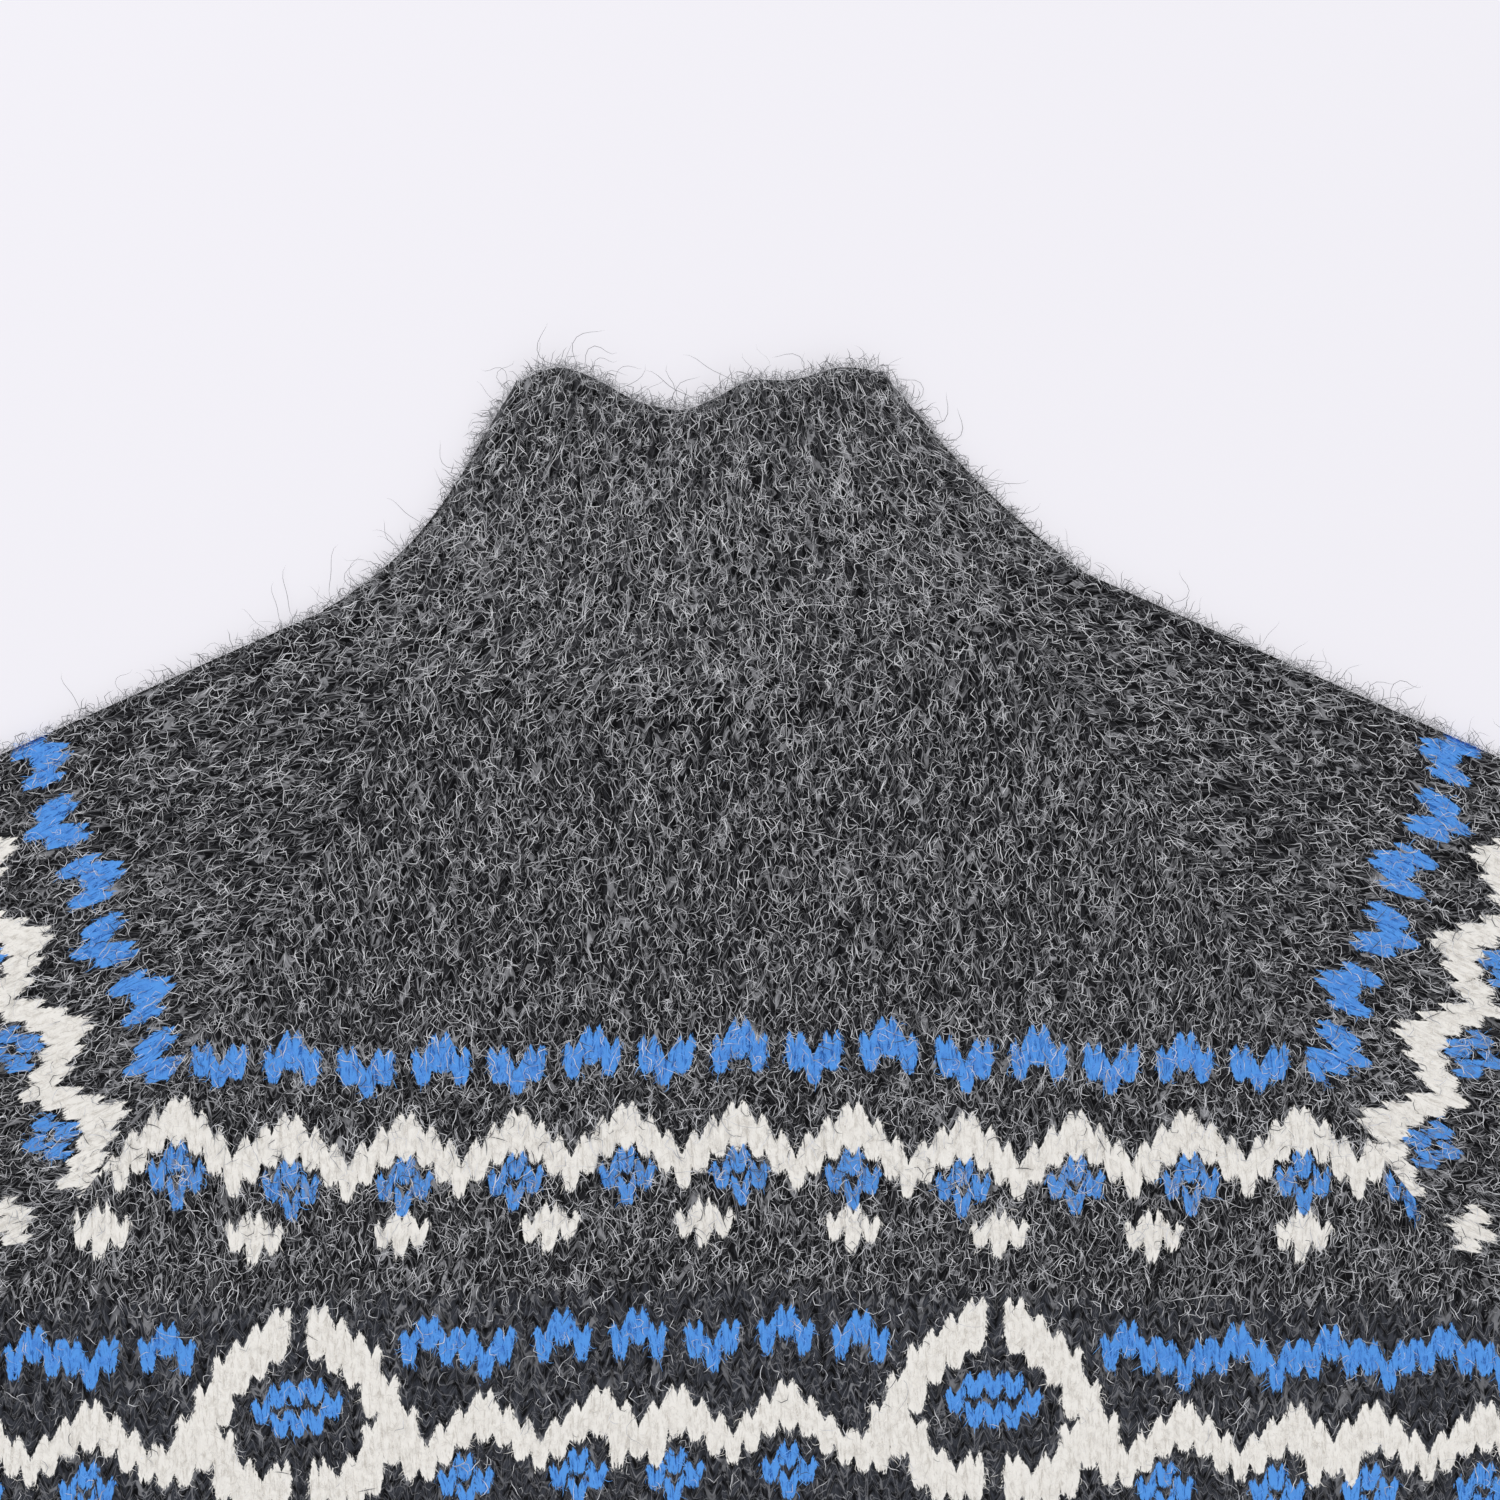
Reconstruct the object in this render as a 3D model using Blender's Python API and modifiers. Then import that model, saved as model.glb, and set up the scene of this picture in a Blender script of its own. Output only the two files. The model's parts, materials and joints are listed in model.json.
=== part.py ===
"""Raglan pullover with a ribbed roll neck, laid flat on its back.

Every piece is a cloth wall: an open sheet through computed sections, thickened
by Solidify.  The front lies on the back, the sleeves and the collar are
flattened tubes, and neighbouring pieces keep a small gap along each seam.
Metres, +Z up, front of the garment facing up, collar towards +Y.
"""

import math

import bmesh
import bpy
import numpy as np

# ---- driving dimensions, metres ---------------------------------------------
WALL = 0.003                 # thickness of the knitted cloth
LAYER_GAP = 0.0014           # air between the front cloth and the back cloth
SEAM = 0.00025               # each piece stops this far short of a seam line
SIDE_SEAM = 0.00020          # the same at the folded side seams, measured in height
SEAM_LIP = 0.0003            # the wall stands upright for this height at a side seam
ARMPIT_SEAM = 0.0017         # SIDE_SEAM at the armpit, where the wall turns up to the yoke
ORIGIN_Y = -0.24464          # drawing height of the box centre, moved to Y = 0

BACK_Z = WALL / 2            # middle of the back cloth
FRONT_Z = WALL * 1.5 + LAYER_GAP
EDGE = WALL / 2              # the middle of the wall lies this far inside the outline
FOLD = (FRONT_Z - BACK_Z) / 2

ARMPIT = (0.292, -0.238)
HEM_SEAM_Y = -0.550
HEM_Y = -0.620
ARM_LENGTH = 0.362           # armpit section to the cuff seam, along the top fold
CUFF_LENGTH = 0.070
SLEEVE_ANGLE = 24.0          # degrees below level, near the neck
SLEEVE_DROOP = 9.0           # further degrees gained between the armpit and the cuff
BICEP = 0.205
WRIST = 0.122
CUFF_WIDTH = 0.098
ARMPIT_SETBACK = 0.0012      # the underarm tube starts this far from the body

LIFT_LIMIT = 0.0026          # the most that soft folds raise the upper cloth

# ---- grid counts --------------------------------------------------------------
N_CAP_ACROSS = 4             # cells between a raglan seam and the top fold
N_BODY_ACROSS = 12           # cells across the front and the back
N_CAP = 8                    # cells along a raglan seam
N_SIDE = 7                   # cells from the armpit to the hem seam
N_ARM = 9                    # cells from the armpit to the cuff seam
N_RIB = 3                    # cells along a cuff or the hem rib
N_COLLAR = 7                 # cells up the collar
N_FOLD = 4                   # cells round a fold
SIDE_CELLS = 2               # cells round the curled edge of a panel at a side seam

# Raglan seams, neck end first.  Columns: height, left seam, right seam.
RAGLAN = (
    (0.000, -0.127, 0.123),
    (-0.030, -0.143, 0.143),
    (-0.060, -0.162, 0.163),
    (-0.090, -0.182, 0.182),
    (-0.125, -0.207, 0.205),
    (-0.163, -0.236, 0.234),
    (-0.201, -0.264, 0.263),
)
RAGLAN_NECK = {"left": (-0.117, 0.0245), "right": (0.088, 0.0440)}
NECK_CORNER = {"left": (-0.1455, 0.0470), "right": (0.1140, 0.0600)}

# Neck seams between the raglan ends.  Columns: across, height in front, height behind.
NECK_SEAM = (
    (-0.088, 0.0165, 0.0340),
    (-0.051, 0.0125, 0.0370),
    (-0.017, 0.0120, 0.0390),
    (0.024, 0.0180, 0.0430),
    (0.051, 0.0280, 0.0470),
)

# Sides of the collar, base first.  Columns: share of the height, left x, y, right x, y.
COLLAR_SIDE = (
    (0.00, -0.1455, 0.0470, 0.1140, 0.0600),
    (0.20, -0.1180, 0.0635, 0.0985, 0.0690),
    (0.42, -0.1045, 0.0790, 0.0800, 0.0860),
    (0.70, -0.0925, 0.1030, 0.0620, 0.1060),
    (1.00, -0.0800, 0.1260, 0.0460, 0.1290),
)

# Top edge of the collar.  Columns: across, height in front, lift of the rim.
COLLAR_TOP = (
    (-0.0800, 0.1260, 0.0000),
    (-0.0680, 0.1310, 0.0012),
    (-0.0540, 0.1262, 0.0016),
    (-0.0400, 0.1180, 0.0004),
    (-0.0240, 0.1150, 0.0000),
    (-0.0120, 0.1185, 0.0010),
    (0.0000, 0.1262, 0.0022),
    (0.0160, 0.1250, 0.0014),
    (0.0330, 0.1305, 0.0012),
    (0.0460, 0.1290, 0.0000),
)
COLLAR_BACK_DROP = 0.0035    # the back rim lies hidden this far below the front rim

# Sides of the body below the armpit.  Columns: height, half width.
BODY_SIDE = (
    (-0.238, 0.2920),
    (-0.300, 0.2885),
    (-0.400, 0.2830),
    (-0.500, 0.2785),
    (-0.550, 0.2745),
    (-0.585, 0.2655),
    (-0.620, 0.2640),
)

# Soft folds that lift the upper cloth.
# Columns: start x, start y, end x, end y, height, half width.
SOFT_FOLDS = (
    (-0.235, -0.215, -0.120, -0.300, 0.0026, 0.018),
    (0.238, -0.222, 0.135, -0.330, 0.0024, 0.020),
    (-0.215, -0.330, -0.110, -0.425, 0.0018, 0.024),
    (0.205, -0.410, 0.060, -0.470, 0.0020, 0.026),
    (-0.060, -0.455, 0.020, -0.515, 0.0016, 0.022),
    (-0.340, -0.170, -0.300, -0.090, 0.0022, 0.016),
    (0.335, -0.165, 0.300, -0.080, 0.0020, 0.016),
    (-0.470, -0.205, -0.440, -0.125, 0.0024, 0.015),
    (0.485, -0.205, 0.450, -0.130, 0.0024, 0.015),
    (-0.600, -0.260, -0.570, -0.205, 0.0018, 0.014),
    (0.590, -0.250, 0.560, -0.200, 0.0020, 0.014),
)

# Colours of the plain solids: linear RGB and roughness.
CHARCOAL_WOOL = ((0.060, 0.061, 0.066), 0.95)
CHARCOAL_RIB = ((0.075, 0.076, 0.081), 0.95)


def smooth(value):
    """Return value clamped to 0..1 and eased at both ends."""
    value = min(max(value, 0.0), 1.0)
    return value * value * (3.0 - 2.0 * value)


def curve_through(points, shares):
    """Return places at the given shares of the length of a curve through points.

    The curve is a Catmull-Rom spline, so it needs only the points that its
    shape turns on.
    """
    knots = np.array(points, dtype=float)
    before = 2.0 * knots[0] - knots[1]
    after = 2.0 * knots[-1] - knots[-2]
    padded = np.vstack([before, knots, after])
    fine = []
    for index in range(len(knots) - 1):
        p0, p1, p2, p3 = padded[index:index + 4]
        for step in range(24):
            t = step / 24
            fine.append(0.5 * (2 * p1 + (p2 - p0) * t
                               + (2 * p0 - 5 * p1 + 4 * p2 - p3) * t ** 2
                               + (3 * p1 - p0 - 3 * p2 + p3) * t ** 3))
    fine.append(knots[-1])
    fine = np.array(fine)
    steps = np.linalg.norm(np.diff(fine, axis=0), axis=1)
    run = np.concatenate([[0.0], np.cumsum(steps)]) / steps.sum()
    return np.column_stack([np.interp(shares, run, fine[:, axis])
                            for axis in range(fine.shape[1])])


def lift(x, y):
    """Return how far the soft folds raise the upper cloth at a place."""
    total = 0.0
    for x0, y0, x1, y1, height, half_width in SOFT_FOLDS:
        along = ((x - x0) * (x1 - x0) + (y - y0) * (y1 - y0)) / ((x1 - x0) ** 2 + (y1 - y0) ** 2)
        nearest = min(max(along, 0.0), 1.0)
        across = math.hypot(x - x0 - nearest * (x1 - x0), y - y0 - nearest * (y1 - y0))
        total += height * math.exp(-(across / half_width) ** 2)
    return min(total, LIFT_LIMIT)


def front_point(x, y):
    """Return the middle of the upper cloth above a place."""
    return (x, y, FRONT_Z + lift(x, y))


def back_point(x, y):
    """Return the middle of the lower cloth under a place."""
    return (x, y, BACK_Z)


def fold_arc(corner, inward, top_z, steps, start=0.0, stop=180.0):
    """Return points round a fold, from the upper cloth down to the lower cloth.

    corner is the outline, inward the level direction into the piece, and the
    angles run from straight up (0) round the outside to straight down (180).
    """
    middle_z = (top_z + BACK_Z) / 2
    reach_z = (top_z - BACK_Z) / 2
    points = []
    for index in range(steps + 1):
        angle = math.radians(start + (stop - start) * index / steps)
        outward = FOLD * math.sin(angle)
        away = EDGE + FOLD - outward
        points.append((corner[0] + inward[0] * away,
                       corner[1] + inward[1] * away,
                       middle_z + reach_z * math.cos(angle)))
    return points


def towards(start, end):
    """Return the unit direction from one place to another."""
    dx, dy = end[0] - start[0], end[1] - start[1]
    length = math.hypot(dx, dy)
    return (dx / length, dy / length)


def between(start, end, share):
    """Return the place at a share of the way from start to end."""
    return (start[0] + (end[0] - start[0]) * share, start[1] + (end[1] - start[1]) * share)


def inset(corner, inward):
    """Return where the flat cloth ends beside a fold whose outline is at corner."""
    return (corner[0] + inward[0] * (EDGE + FOLD), corner[1] + inward[1] * (EDGE + FOLD))


# ---- seam lines shared by the pieces that meet on them --------------------------
def raglan_line(side):
    """Return the places along a raglan seam, neck end first, armpit last."""
    column = 1 if side == "left" else 2
    sign = -1 if side == "left" else 1
    points = [RAGLAN_NECK[side]]
    points += [(row[column], row[0]) for row in RAGLAN]
    points.append((sign * ARMPIT[0], ARMPIT[1]))
    return curve_through(points, np.linspace(0.0, 1.0, N_CAP + 1))


def neck_line(layer):
    """Return the neck seam between the raglan ends, left to right."""
    column = 1 if layer == "front" else 2
    points = [RAGLAN_NECK["left"]]
    points += [(row[0], row[column]) for row in NECK_SEAM]
    points.append(RAGLAN_NECK["right"])
    return curve_through(points, np.linspace(0.0, 1.0, N_BODY_ACROSS + 1))


def cap_line(side):
    """Return the neck seam on a sleeve, raglan end first, up to the fold."""
    inward = towards(NECK_CORNER[side], RAGLAN_NECK[side])
    end = inset(NECK_CORNER[side], inward)
    shares = np.linspace(0.0, 1.0, N_CAP_ACROSS + 1)
    return [between(RAGLAN_NECK[side], end, share) for share in shares]


# ---- sleeves -------------------------------------------------------------------
def top_fold(side, distance):
    """Return the place and heading on a sleeve's top fold, from the neck corner."""
    sign = -1 if side == "left" else 1
    x, y = NECK_CORNER[side]
    steps = max(1, round(distance / 0.004))
    step = distance / steps
    angle = math.radians(SLEEVE_ANGLE)
    for _ in range(steps):
        share = smooth((abs(x) - ARMPIT[0]) / ARM_LENGTH)
        angle = math.radians(SLEEVE_ANGLE + SLEEVE_DROOP * share)
        x += sign * math.cos(angle) * step
        y -= math.sin(angle) * step
    return (x, y), (sign * math.cos(angle), -math.sin(angle))


def armpit_distance(side):
    """Return how far along the top fold the armpit's own section lies."""
    sign = -1 if side == "left" else 1
    low, high = 0.1, 0.4
    for _ in range(40):
        middle = (low + high) / 2
        (x, y), heading = top_fold(side, middle)
        ahead = (sign * ARMPIT[0] - x) * heading[0] + (ARMPIT[1] - y) * heading[1]
        if ahead > 0:
            low = middle
        else:
            high = middle
    return (low + high) / 2


def tube_section(top, under, shift):
    """Return a closed section of a flattened tube, from the under fold round to it.

    top and under are outline places; shift moves the section along the tube.
    """
    inward_top = towards(top, under)
    inward_under = towards(under, top)
    upper_start = inset(under, inward_under)
    upper_end = inset(top, inward_top)
    half = N_FOLD // 2
    low_z = FRONT_Z + lift(*upper_start)
    high_z = FRONT_Z + lift(*upper_end)
    row = fold_arc(under, inward_under, low_z, half, 90.0, 0.0)[:-1]
    shares = np.linspace(0.0, 1.0, N_CAP_ACROSS + 1)
    row += [front_point(*between(upper_start, upper_end, share)) for share in shares[:-1]]
    row += fold_arc(top, inward_top, high_z, N_FOLD)
    row += [back_point(*between(upper_end, upper_start, share)) for share in shares[1:]]
    row += fold_arc(under, inward_under, low_z, half, 180.0, 90.0)[1:]
    return [(x + shift[0], y + shift[1], z) for x, y, z in row]


def cap_section(side, index, top, shift):
    """Return an open section of a sleeve cap, front raglan seam to back raglan seam."""
    low = tuple(raglan_line(side)[index])
    if index == 0:
        inward = towards(NECK_CORNER[side], RAGLAN_NECK[side])
        places = cap_line(side)
    else:
        inward = towards(top, low)
        end = inset(top, inward)
        places = [between(low, end, share) for share in np.linspace(0.0, 1.0, N_CAP_ACROSS + 1)]
    half = N_FOLD // 2
    hem = [between(places[0], places[1], share) for share in np.linspace(0.0, 0.5, half + 1)]
    flat = hem[:-1] + [hem[-1]] + places[1:]
    high_z = FRONT_Z + lift(*places[-1])
    row = [front_point(*place) for place in flat[:-1]]
    row += fold_arc(top, inward, high_z, N_FOLD)
    row += [back_point(*place) for place in reversed(flat[:-1])]
    return [(x + shift[0], y + shift[1], z) for x, y, z in row]


def sleeve_rows(side):
    """Return the sections of a sleeve from the neck to the cuff seam."""
    sign = -1 if side == "left" else 1
    reach = armpit_distance(side)
    rows = []
    for index in range(N_CAP):
        place, _ = top_fold(side, reach * index / N_CAP)
        shift = (sign * SEAM, -SEAM) if index == 0 else (sign * SEAM, 0.0)
        rows.append(cap_section(side, index, place, shift))
    for index in range(N_ARM + 1):
        rows.append(arm_section(side, reach, index / N_ARM))
    return rows


def arm_section(side, reach, share):
    """Return the closed section at a share of the way from armpit to cuff seam."""
    place, heading = top_fold(side, reach + ARM_LENGTH * share)
    sign = -1 if side == "left" else 1
    down = (sign * heading[1], -sign * heading[0])
    width = BICEP + (WRIST - BICEP) * share
    if share == 0.0:
        width = math.dist(place, (sign * ARMPIT[0], ARMPIT[1]))
    under = (place[0] + down[0] * width, place[1] + down[1] * width)
    shift = (0.0, 0.0)
    if share == 0.0:
        shift = (heading[0] * ARMPIT_SETBACK, heading[1] * ARMPIT_SETBACK)
    if share == 1.0:
        shift = (-heading[0] * SEAM, -heading[1] * SEAM)
    return tube_section(place, under, shift)


def cuff_rows(side):
    """Return the sections of a cuff, which draws in just past its seam."""
    sign = -1 if side == "left" else 1
    seam = armpit_distance(side) + ARM_LENGTH
    rows = []
    for index in range(N_RIB + 1):
        share = index / N_RIB
        place, heading = top_fold(side, seam + CUFF_LENGTH * share)
        down = (sign * heading[1], -sign * heading[0])
        drawn = smooth(share * 1.6)
        width = WRIST + (CUFF_WIDTH - WRIST) * drawn
        step_in = (WRIST - width) / 2
        top = (place[0] + down[0] * step_in, place[1] + down[1] * step_in)
        under = (top[0] + down[0] * width, top[1] + down[1] * width)
        shift = (heading[0] * SEAM, heading[1] * SEAM) if index == 0 else (0.0, 0.0)
        rows.append(tube_section(top, under, shift))
    return rows


# ---- body ----------------------------------------------------------------------
def half_width(y):
    """Return half the width of the body at a height below the armpit."""
    heights = [row[0] for row in reversed(BODY_SIDE)]
    widths = [row[1] for row in reversed(BODY_SIDE)]
    return float(np.interp(y, heights, widths))


def side_edge(corner, inward, layer, seam):
    """Return the curled edge of a panel at a side seam, seam first.

    The wall ends upright, so that front and back meet on level faces.
    """
    sign = 1 if layer == "front" else -1
    flat_z = FRONT_Z if layer == "front" else BACK_Z
    middle_z = (FRONT_Z + BACK_Z) / 2
    points = [(corner[0] + inward * EDGE, corner[1], middle_z + sign * seam)]
    bend_z = middle_z + sign * (seam + SEAM_LIP)
    for index in range(SIDE_CELLS):
        angle = math.radians(90.0 * index / SIDE_CELLS)
        away = EDGE + FOLD * (1.0 - math.cos(angle))
        points.append((corner[0] + inward * away, corner[1],
                       bend_z + (flat_z - bend_z) * math.sin(angle)))
    return points


def body_row(y, layer):
    """Return a level row of a body panel below the armpit, left to right."""
    wide = half_width(y)
    start = (-wide + EDGE + FOLD, y)
    end = (wide - EDGE - FOLD, y)
    shares = np.linspace(0.0, 1.0, N_BODY_ACROSS + 1)
    point = front_point if layer == "front" else back_point
    flat = [point(*between(start, end, share)) for share in shares]
    seam = ARMPIT_SEAM if y == ARMPIT[1] else SIDE_SEAM
    left = side_edge((-wide, y), 1, layer, seam)
    right = side_edge((wide, y), -1, layer, seam)
    return left + flat + list(reversed(right))


def yoke_row(share, layer):
    """Return a row of a body panel between the armpits and the neck seam.

    The row is a blend of the straight armpit line and the curved neck seam,
    hung between the two raglan seams.
    """
    neck = neck_line(layer)
    left_line, right_line = raglan_line("left"), raglan_line("right")
    index = round((1.0 - share) * N_CAP)
    left, right = left_line[index], right_line[index]
    row = []
    for column in range(N_BODY_ACROSS + 1):
        across = column / N_BODY_ACROSS
        chord = left * (1 - across) + right * across
        neck_chord = neck[0] * (1 - across) + neck[-1] * across
        row.append(tuple(chord + (neck[column] - neck_chord) * share ** 2))
    edge_shares = np.linspace(0.0, 0.5, SIDE_CELLS + 2)[:-1]
    first = [between(row[0], row[1], part) for part in edge_shares]
    last = [between(row[-1], row[-2], part) for part in reversed(edge_shares)]
    inner = [between(row[0], row[1], 0.5)] + row[1:-1] + [between(row[-1], row[-2], 0.5)]
    places = first + inner + last
    point = front_point if layer == "front" else back_point
    count = len(places)
    cloth = []
    for column, (x, y) in enumerate(places):
        pull = SEAM * (1.0 - 2.0 * column / (count - 1))
        drop = SEAM if share == 1.0 else 0.0
        px, py, pz = point(x, y)
        cloth.append((px + pull, py - drop, pz))
    return cloth


def panel_rows(layer):
    """Return the rows of the front or back panel, hem seam first."""
    rows = []
    for index in range(N_SIDE + 1):
        y = ARMPIT[1] + (HEM_SEAM_Y - ARMPIT[1]) * (1.0 - index / N_SIDE)
        if index == 0:
            rows.append([(px, py + SEAM, pz) for px, py, pz in body_row(y, layer)])
        else:
            rows.append(body_row(y, layer))
    for index in range(1, N_CAP + 1):
        rows.append(yoke_row(index / N_CAP, layer))
    return rows


def hem_rows():
    """Return the sections of the hem rib, a flattened ring below the body."""
    half = N_FOLD // 2
    rows = []
    for index in range(N_RIB + 1):
        y = HEM_SEAM_Y + (HEM_Y - HEM_SEAM_Y) * index / N_RIB
        wide = half_width(y)
        start = (-wide + EDGE + FOLD, y)
        end = (wide - EDGE - FOLD, y)
        places = [between(start, end, share) for share in np.linspace(0.0, 1.0, N_BODY_ACROSS + 1)]
        row = fold_arc((-wide, y), (1, 0), FRONT_Z, half, 90.0, 0.0)[:-1]
        row += [front_point(*place) for place in places[:-1]]
        row += fold_arc((wide, y), (-1, 0), FRONT_Z, N_FOLD)
        row += [back_point(*place) for place in reversed(places[:-1])]
        row += fold_arc((-wide, y), (1, 0), FRONT_Z, half, 180.0, 90.0)[1:]
        shift = -SEAM if index == 0 else 0.0
        rows.append([(px, py + shift, pz) for px, py, pz in row])
    return rows


# ---- collar --------------------------------------------------------------------
def collar_outline(side, share):
    """Return the outline of the collar's side at a share of its height."""
    first = 1 if side == "left" else 3
    points = [row[first:first + 2] for row in COLLAR_SIDE]
    shares = [row[0] for row in COLLAR_SIDE]
    knots = curve_through(points, np.array(shares))
    return (float(np.interp(share, shares, knots[:, 0])),
            float(np.interp(share, shares, knots[:, 1])))


def collar_row(share):
    """Return a closed section of the collar at a share of its height.

    The base follows the neck seam and the rim follows the top edge; rows
    between them hang from the two side outlines.
    """
    left, right = collar_outline("left", share), collar_outline("right", share)
    inward_left, inward_right = base_headings(share)
    start, end = inset(left, inward_left), inset(right, inward_right)
    front = collar_layer("front", share, start, end)
    back = collar_layer("back", share, start, end)
    half = N_FOLD // 2
    row = fold_arc(left, inward_left, front[0][2], half, 90.0, 0.0)[:-1]
    row += front[:-1]
    row += fold_arc(right, inward_right, front[-1][2], N_FOLD)
    row += list(reversed(back[:-1]))
    row += fold_arc(left, inward_left, front[0][2], half, 180.0, 90.0)[1:]
    shift = SEAM if share == 0.0 else 0.0
    return [(px, py + shift, pz) for px, py, pz in row]


def base_headings(share):
    """Return the inward headings at the two folds, turning level towards the rim."""
    headings = []
    for side, level in (("left", (1.0, 0.0)), ("right", (-1.0, 0.0))):
        seam = towards(NECK_CORNER[side], RAGLAN_NECK[side])
        blend = smooth(share * 3.0)
        mixed = between(seam, level, blend)
        headings.append(towards((0.0, 0.0), mixed))
    return headings


def base_places(layer):
    """Return the neck seam from fold to fold, through both sleeve caps."""
    left = list(reversed(cap_line("left")))
    right = cap_line("right")
    middle = [tuple(place) for place in neck_line(layer)]
    return left[:-1] + middle + right[1:]


def collar_layer(layer, share, start, end):
    """Return one layer of a collar row, left fold to right fold."""
    base = base_places(layer)
    steps = [math.dist(base[i], base[i + 1]) for i in range(len(base) - 1)]
    runs = np.concatenate([[0.0], np.cumsum(steps)]) / sum(steps)
    top_x = [row[0] for row in COLLAR_TOP]
    top_run = (np.array(top_x) - top_x[0]) / (top_x[-1] - top_x[0])
    heights = [row[1] for row in COLLAR_TOP]
    lifts = [row[2] for row in COLLAR_TOP]
    places = []
    for place, run in zip(base, runs):
        chord = between(start, end, run)
        base_chord = between(base[0], base[-1], run)
        sag = (place[0] - base_chord[0], place[1] - base_chord[1])
        rim_chord = heights[0] + (heights[-1] - heights[0]) * run
        rise = float(np.interp(run, top_run, heights)) - rim_chord
        if layer == "back":
            rise -= COLLAR_BACK_DROP * math.sin(math.pi * run)
        x = chord[0] + sag[0] * (1 - share) ** 1.5
        y = chord[1] + sag[1] * (1 - share) ** 1.5 + rise * share ** 4
        if layer == "front":
            ripple = float(np.interp(run, top_run, lifts)) * smooth(share * 1.4 - 0.4)
            places.append((x, y, FRONT_Z + lift(x, y) * (1 - share) + ripple))
        else:
            places.append((x, y, BACK_Z))
    return places


def collar_rows():
    """Return the sections of the collar, neck seam first."""
    return [collar_row(index / N_COLLAR) for index in range(N_COLLAR + 1)]


# ---- building --------------------------------------------------------------------
def wool_material(name, finish):
    """Return a Principled material for one piece of cloth."""
    colour, roughness = finish
    material = bpy.data.materials.new(name)
    material.use_nodes = True
    shader = material.node_tree.nodes["Principled BSDF"]
    shader.inputs["Base Color"].default_value = (*colour, 1.0)
    shader.inputs["Roughness"].default_value = roughness
    shader.inputs["Metallic"].default_value = 0.0
    return material


def cloth_object(name, rows, finish, collection):
    """Build one cloth wall through rows of points on the middle of the wall.

    A grid takes the points, its edges that meet are welded, and Solidify gives
    the wall half its thickness to each side.
    """
    points = np.array(rows)
    row_cells, column_cells = points.shape[0] - 1, points.shape[1] - 1
    bm = bmesh.new()
    bmesh.ops.create_grid(bm, x_segments=column_cells, y_segments=row_cells, size=1.0)
    for vert in bm.verts:
        column = round((vert.co.x + 1.0) / 2.0 * column_cells)
        row = round((vert.co.y + 1.0) / 2.0 * row_cells)
        x, y, z = points[row, column]
        vert.co = (x, y - ORIGIN_Y, z)
    bmesh.ops.remove_doubles(bm, verts=bm.verts[:], dist=0.000005)
    bmesh.ops.recalc_face_normals(bm, faces=bm.faces[:])
    mesh = bpy.data.meshes.new(name)
    bm.to_mesh(mesh)
    bm.free()
    mesh.shade_smooth()
    obj = bpy.data.objects.new(name, mesh)
    collection.objects.link(obj)
    mesh.materials.append(wool_material(name + "_wool", finish))
    wall = obj.modifiers.new("wall", "SOLIDIFY")
    wall.thickness = WALL
    wall.offset = 0.0
    wall.use_even_offset = False
    wall.use_rim = True
    return obj


def main():
    """Build the pullover."""
    for obj in list(bpy.data.objects):
        bpy.data.objects.remove(obj, do_unlink=True)
    collection = bpy.data.collections.new("pullover")
    bpy.context.scene.collection.children.link(collection)
    cloth_object("front_panel", panel_rows("front"), CHARCOAL_WOOL, collection)
    cloth_object("back_panel", panel_rows("back"), CHARCOAL_WOOL, collection)
    cloth_object("hem_rib", hem_rows(), CHARCOAL_RIB, collection)
    cloth_object("roll_collar", collar_rows(), CHARCOAL_RIB, collection)
    for side, wearer in (("left", "right"), ("right", "left")):
        cloth_object(wearer + "_sleeve", sleeve_rows(side), CHARCOAL_WOOL, collection)
        cloth_object(wearer + "_cuff", cuff_rows(side), CHARCOAL_RIB, collection)


main()
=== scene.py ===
"""Looks of a roll-neck Fair Isle pullover laid flat: knitted skins, colourwork, nap and studio.

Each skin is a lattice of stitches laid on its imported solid.  Metres, +Z up, the front of the
garment facing up and the collar towards +Y.  Wales run along a piece and rows across it.
"""

import json
import logging
import math
from dataclasses import dataclass
from enum import Enum

import bmesh
import bpy
import numpy as np
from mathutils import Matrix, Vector
from mathutils.bvhtree import BVHTree

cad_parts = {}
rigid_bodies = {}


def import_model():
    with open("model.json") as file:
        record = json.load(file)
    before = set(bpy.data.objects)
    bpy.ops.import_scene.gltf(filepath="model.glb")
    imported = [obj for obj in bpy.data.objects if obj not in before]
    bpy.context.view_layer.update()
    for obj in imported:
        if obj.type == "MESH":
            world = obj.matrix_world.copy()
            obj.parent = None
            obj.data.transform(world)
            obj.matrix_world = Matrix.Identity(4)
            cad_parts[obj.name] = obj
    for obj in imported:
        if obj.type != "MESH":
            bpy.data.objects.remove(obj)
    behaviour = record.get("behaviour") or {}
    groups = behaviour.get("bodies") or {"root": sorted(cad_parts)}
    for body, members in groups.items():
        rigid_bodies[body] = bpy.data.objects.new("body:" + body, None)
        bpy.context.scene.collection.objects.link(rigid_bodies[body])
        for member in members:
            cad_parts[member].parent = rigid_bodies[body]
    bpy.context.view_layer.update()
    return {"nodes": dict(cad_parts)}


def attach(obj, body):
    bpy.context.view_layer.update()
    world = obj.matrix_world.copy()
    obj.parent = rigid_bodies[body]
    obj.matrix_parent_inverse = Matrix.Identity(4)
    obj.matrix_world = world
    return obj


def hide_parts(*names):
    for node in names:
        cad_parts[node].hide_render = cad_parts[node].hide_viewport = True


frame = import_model()

LOG = logging.getLogger("pullover")
ROOT = "root"

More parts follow.
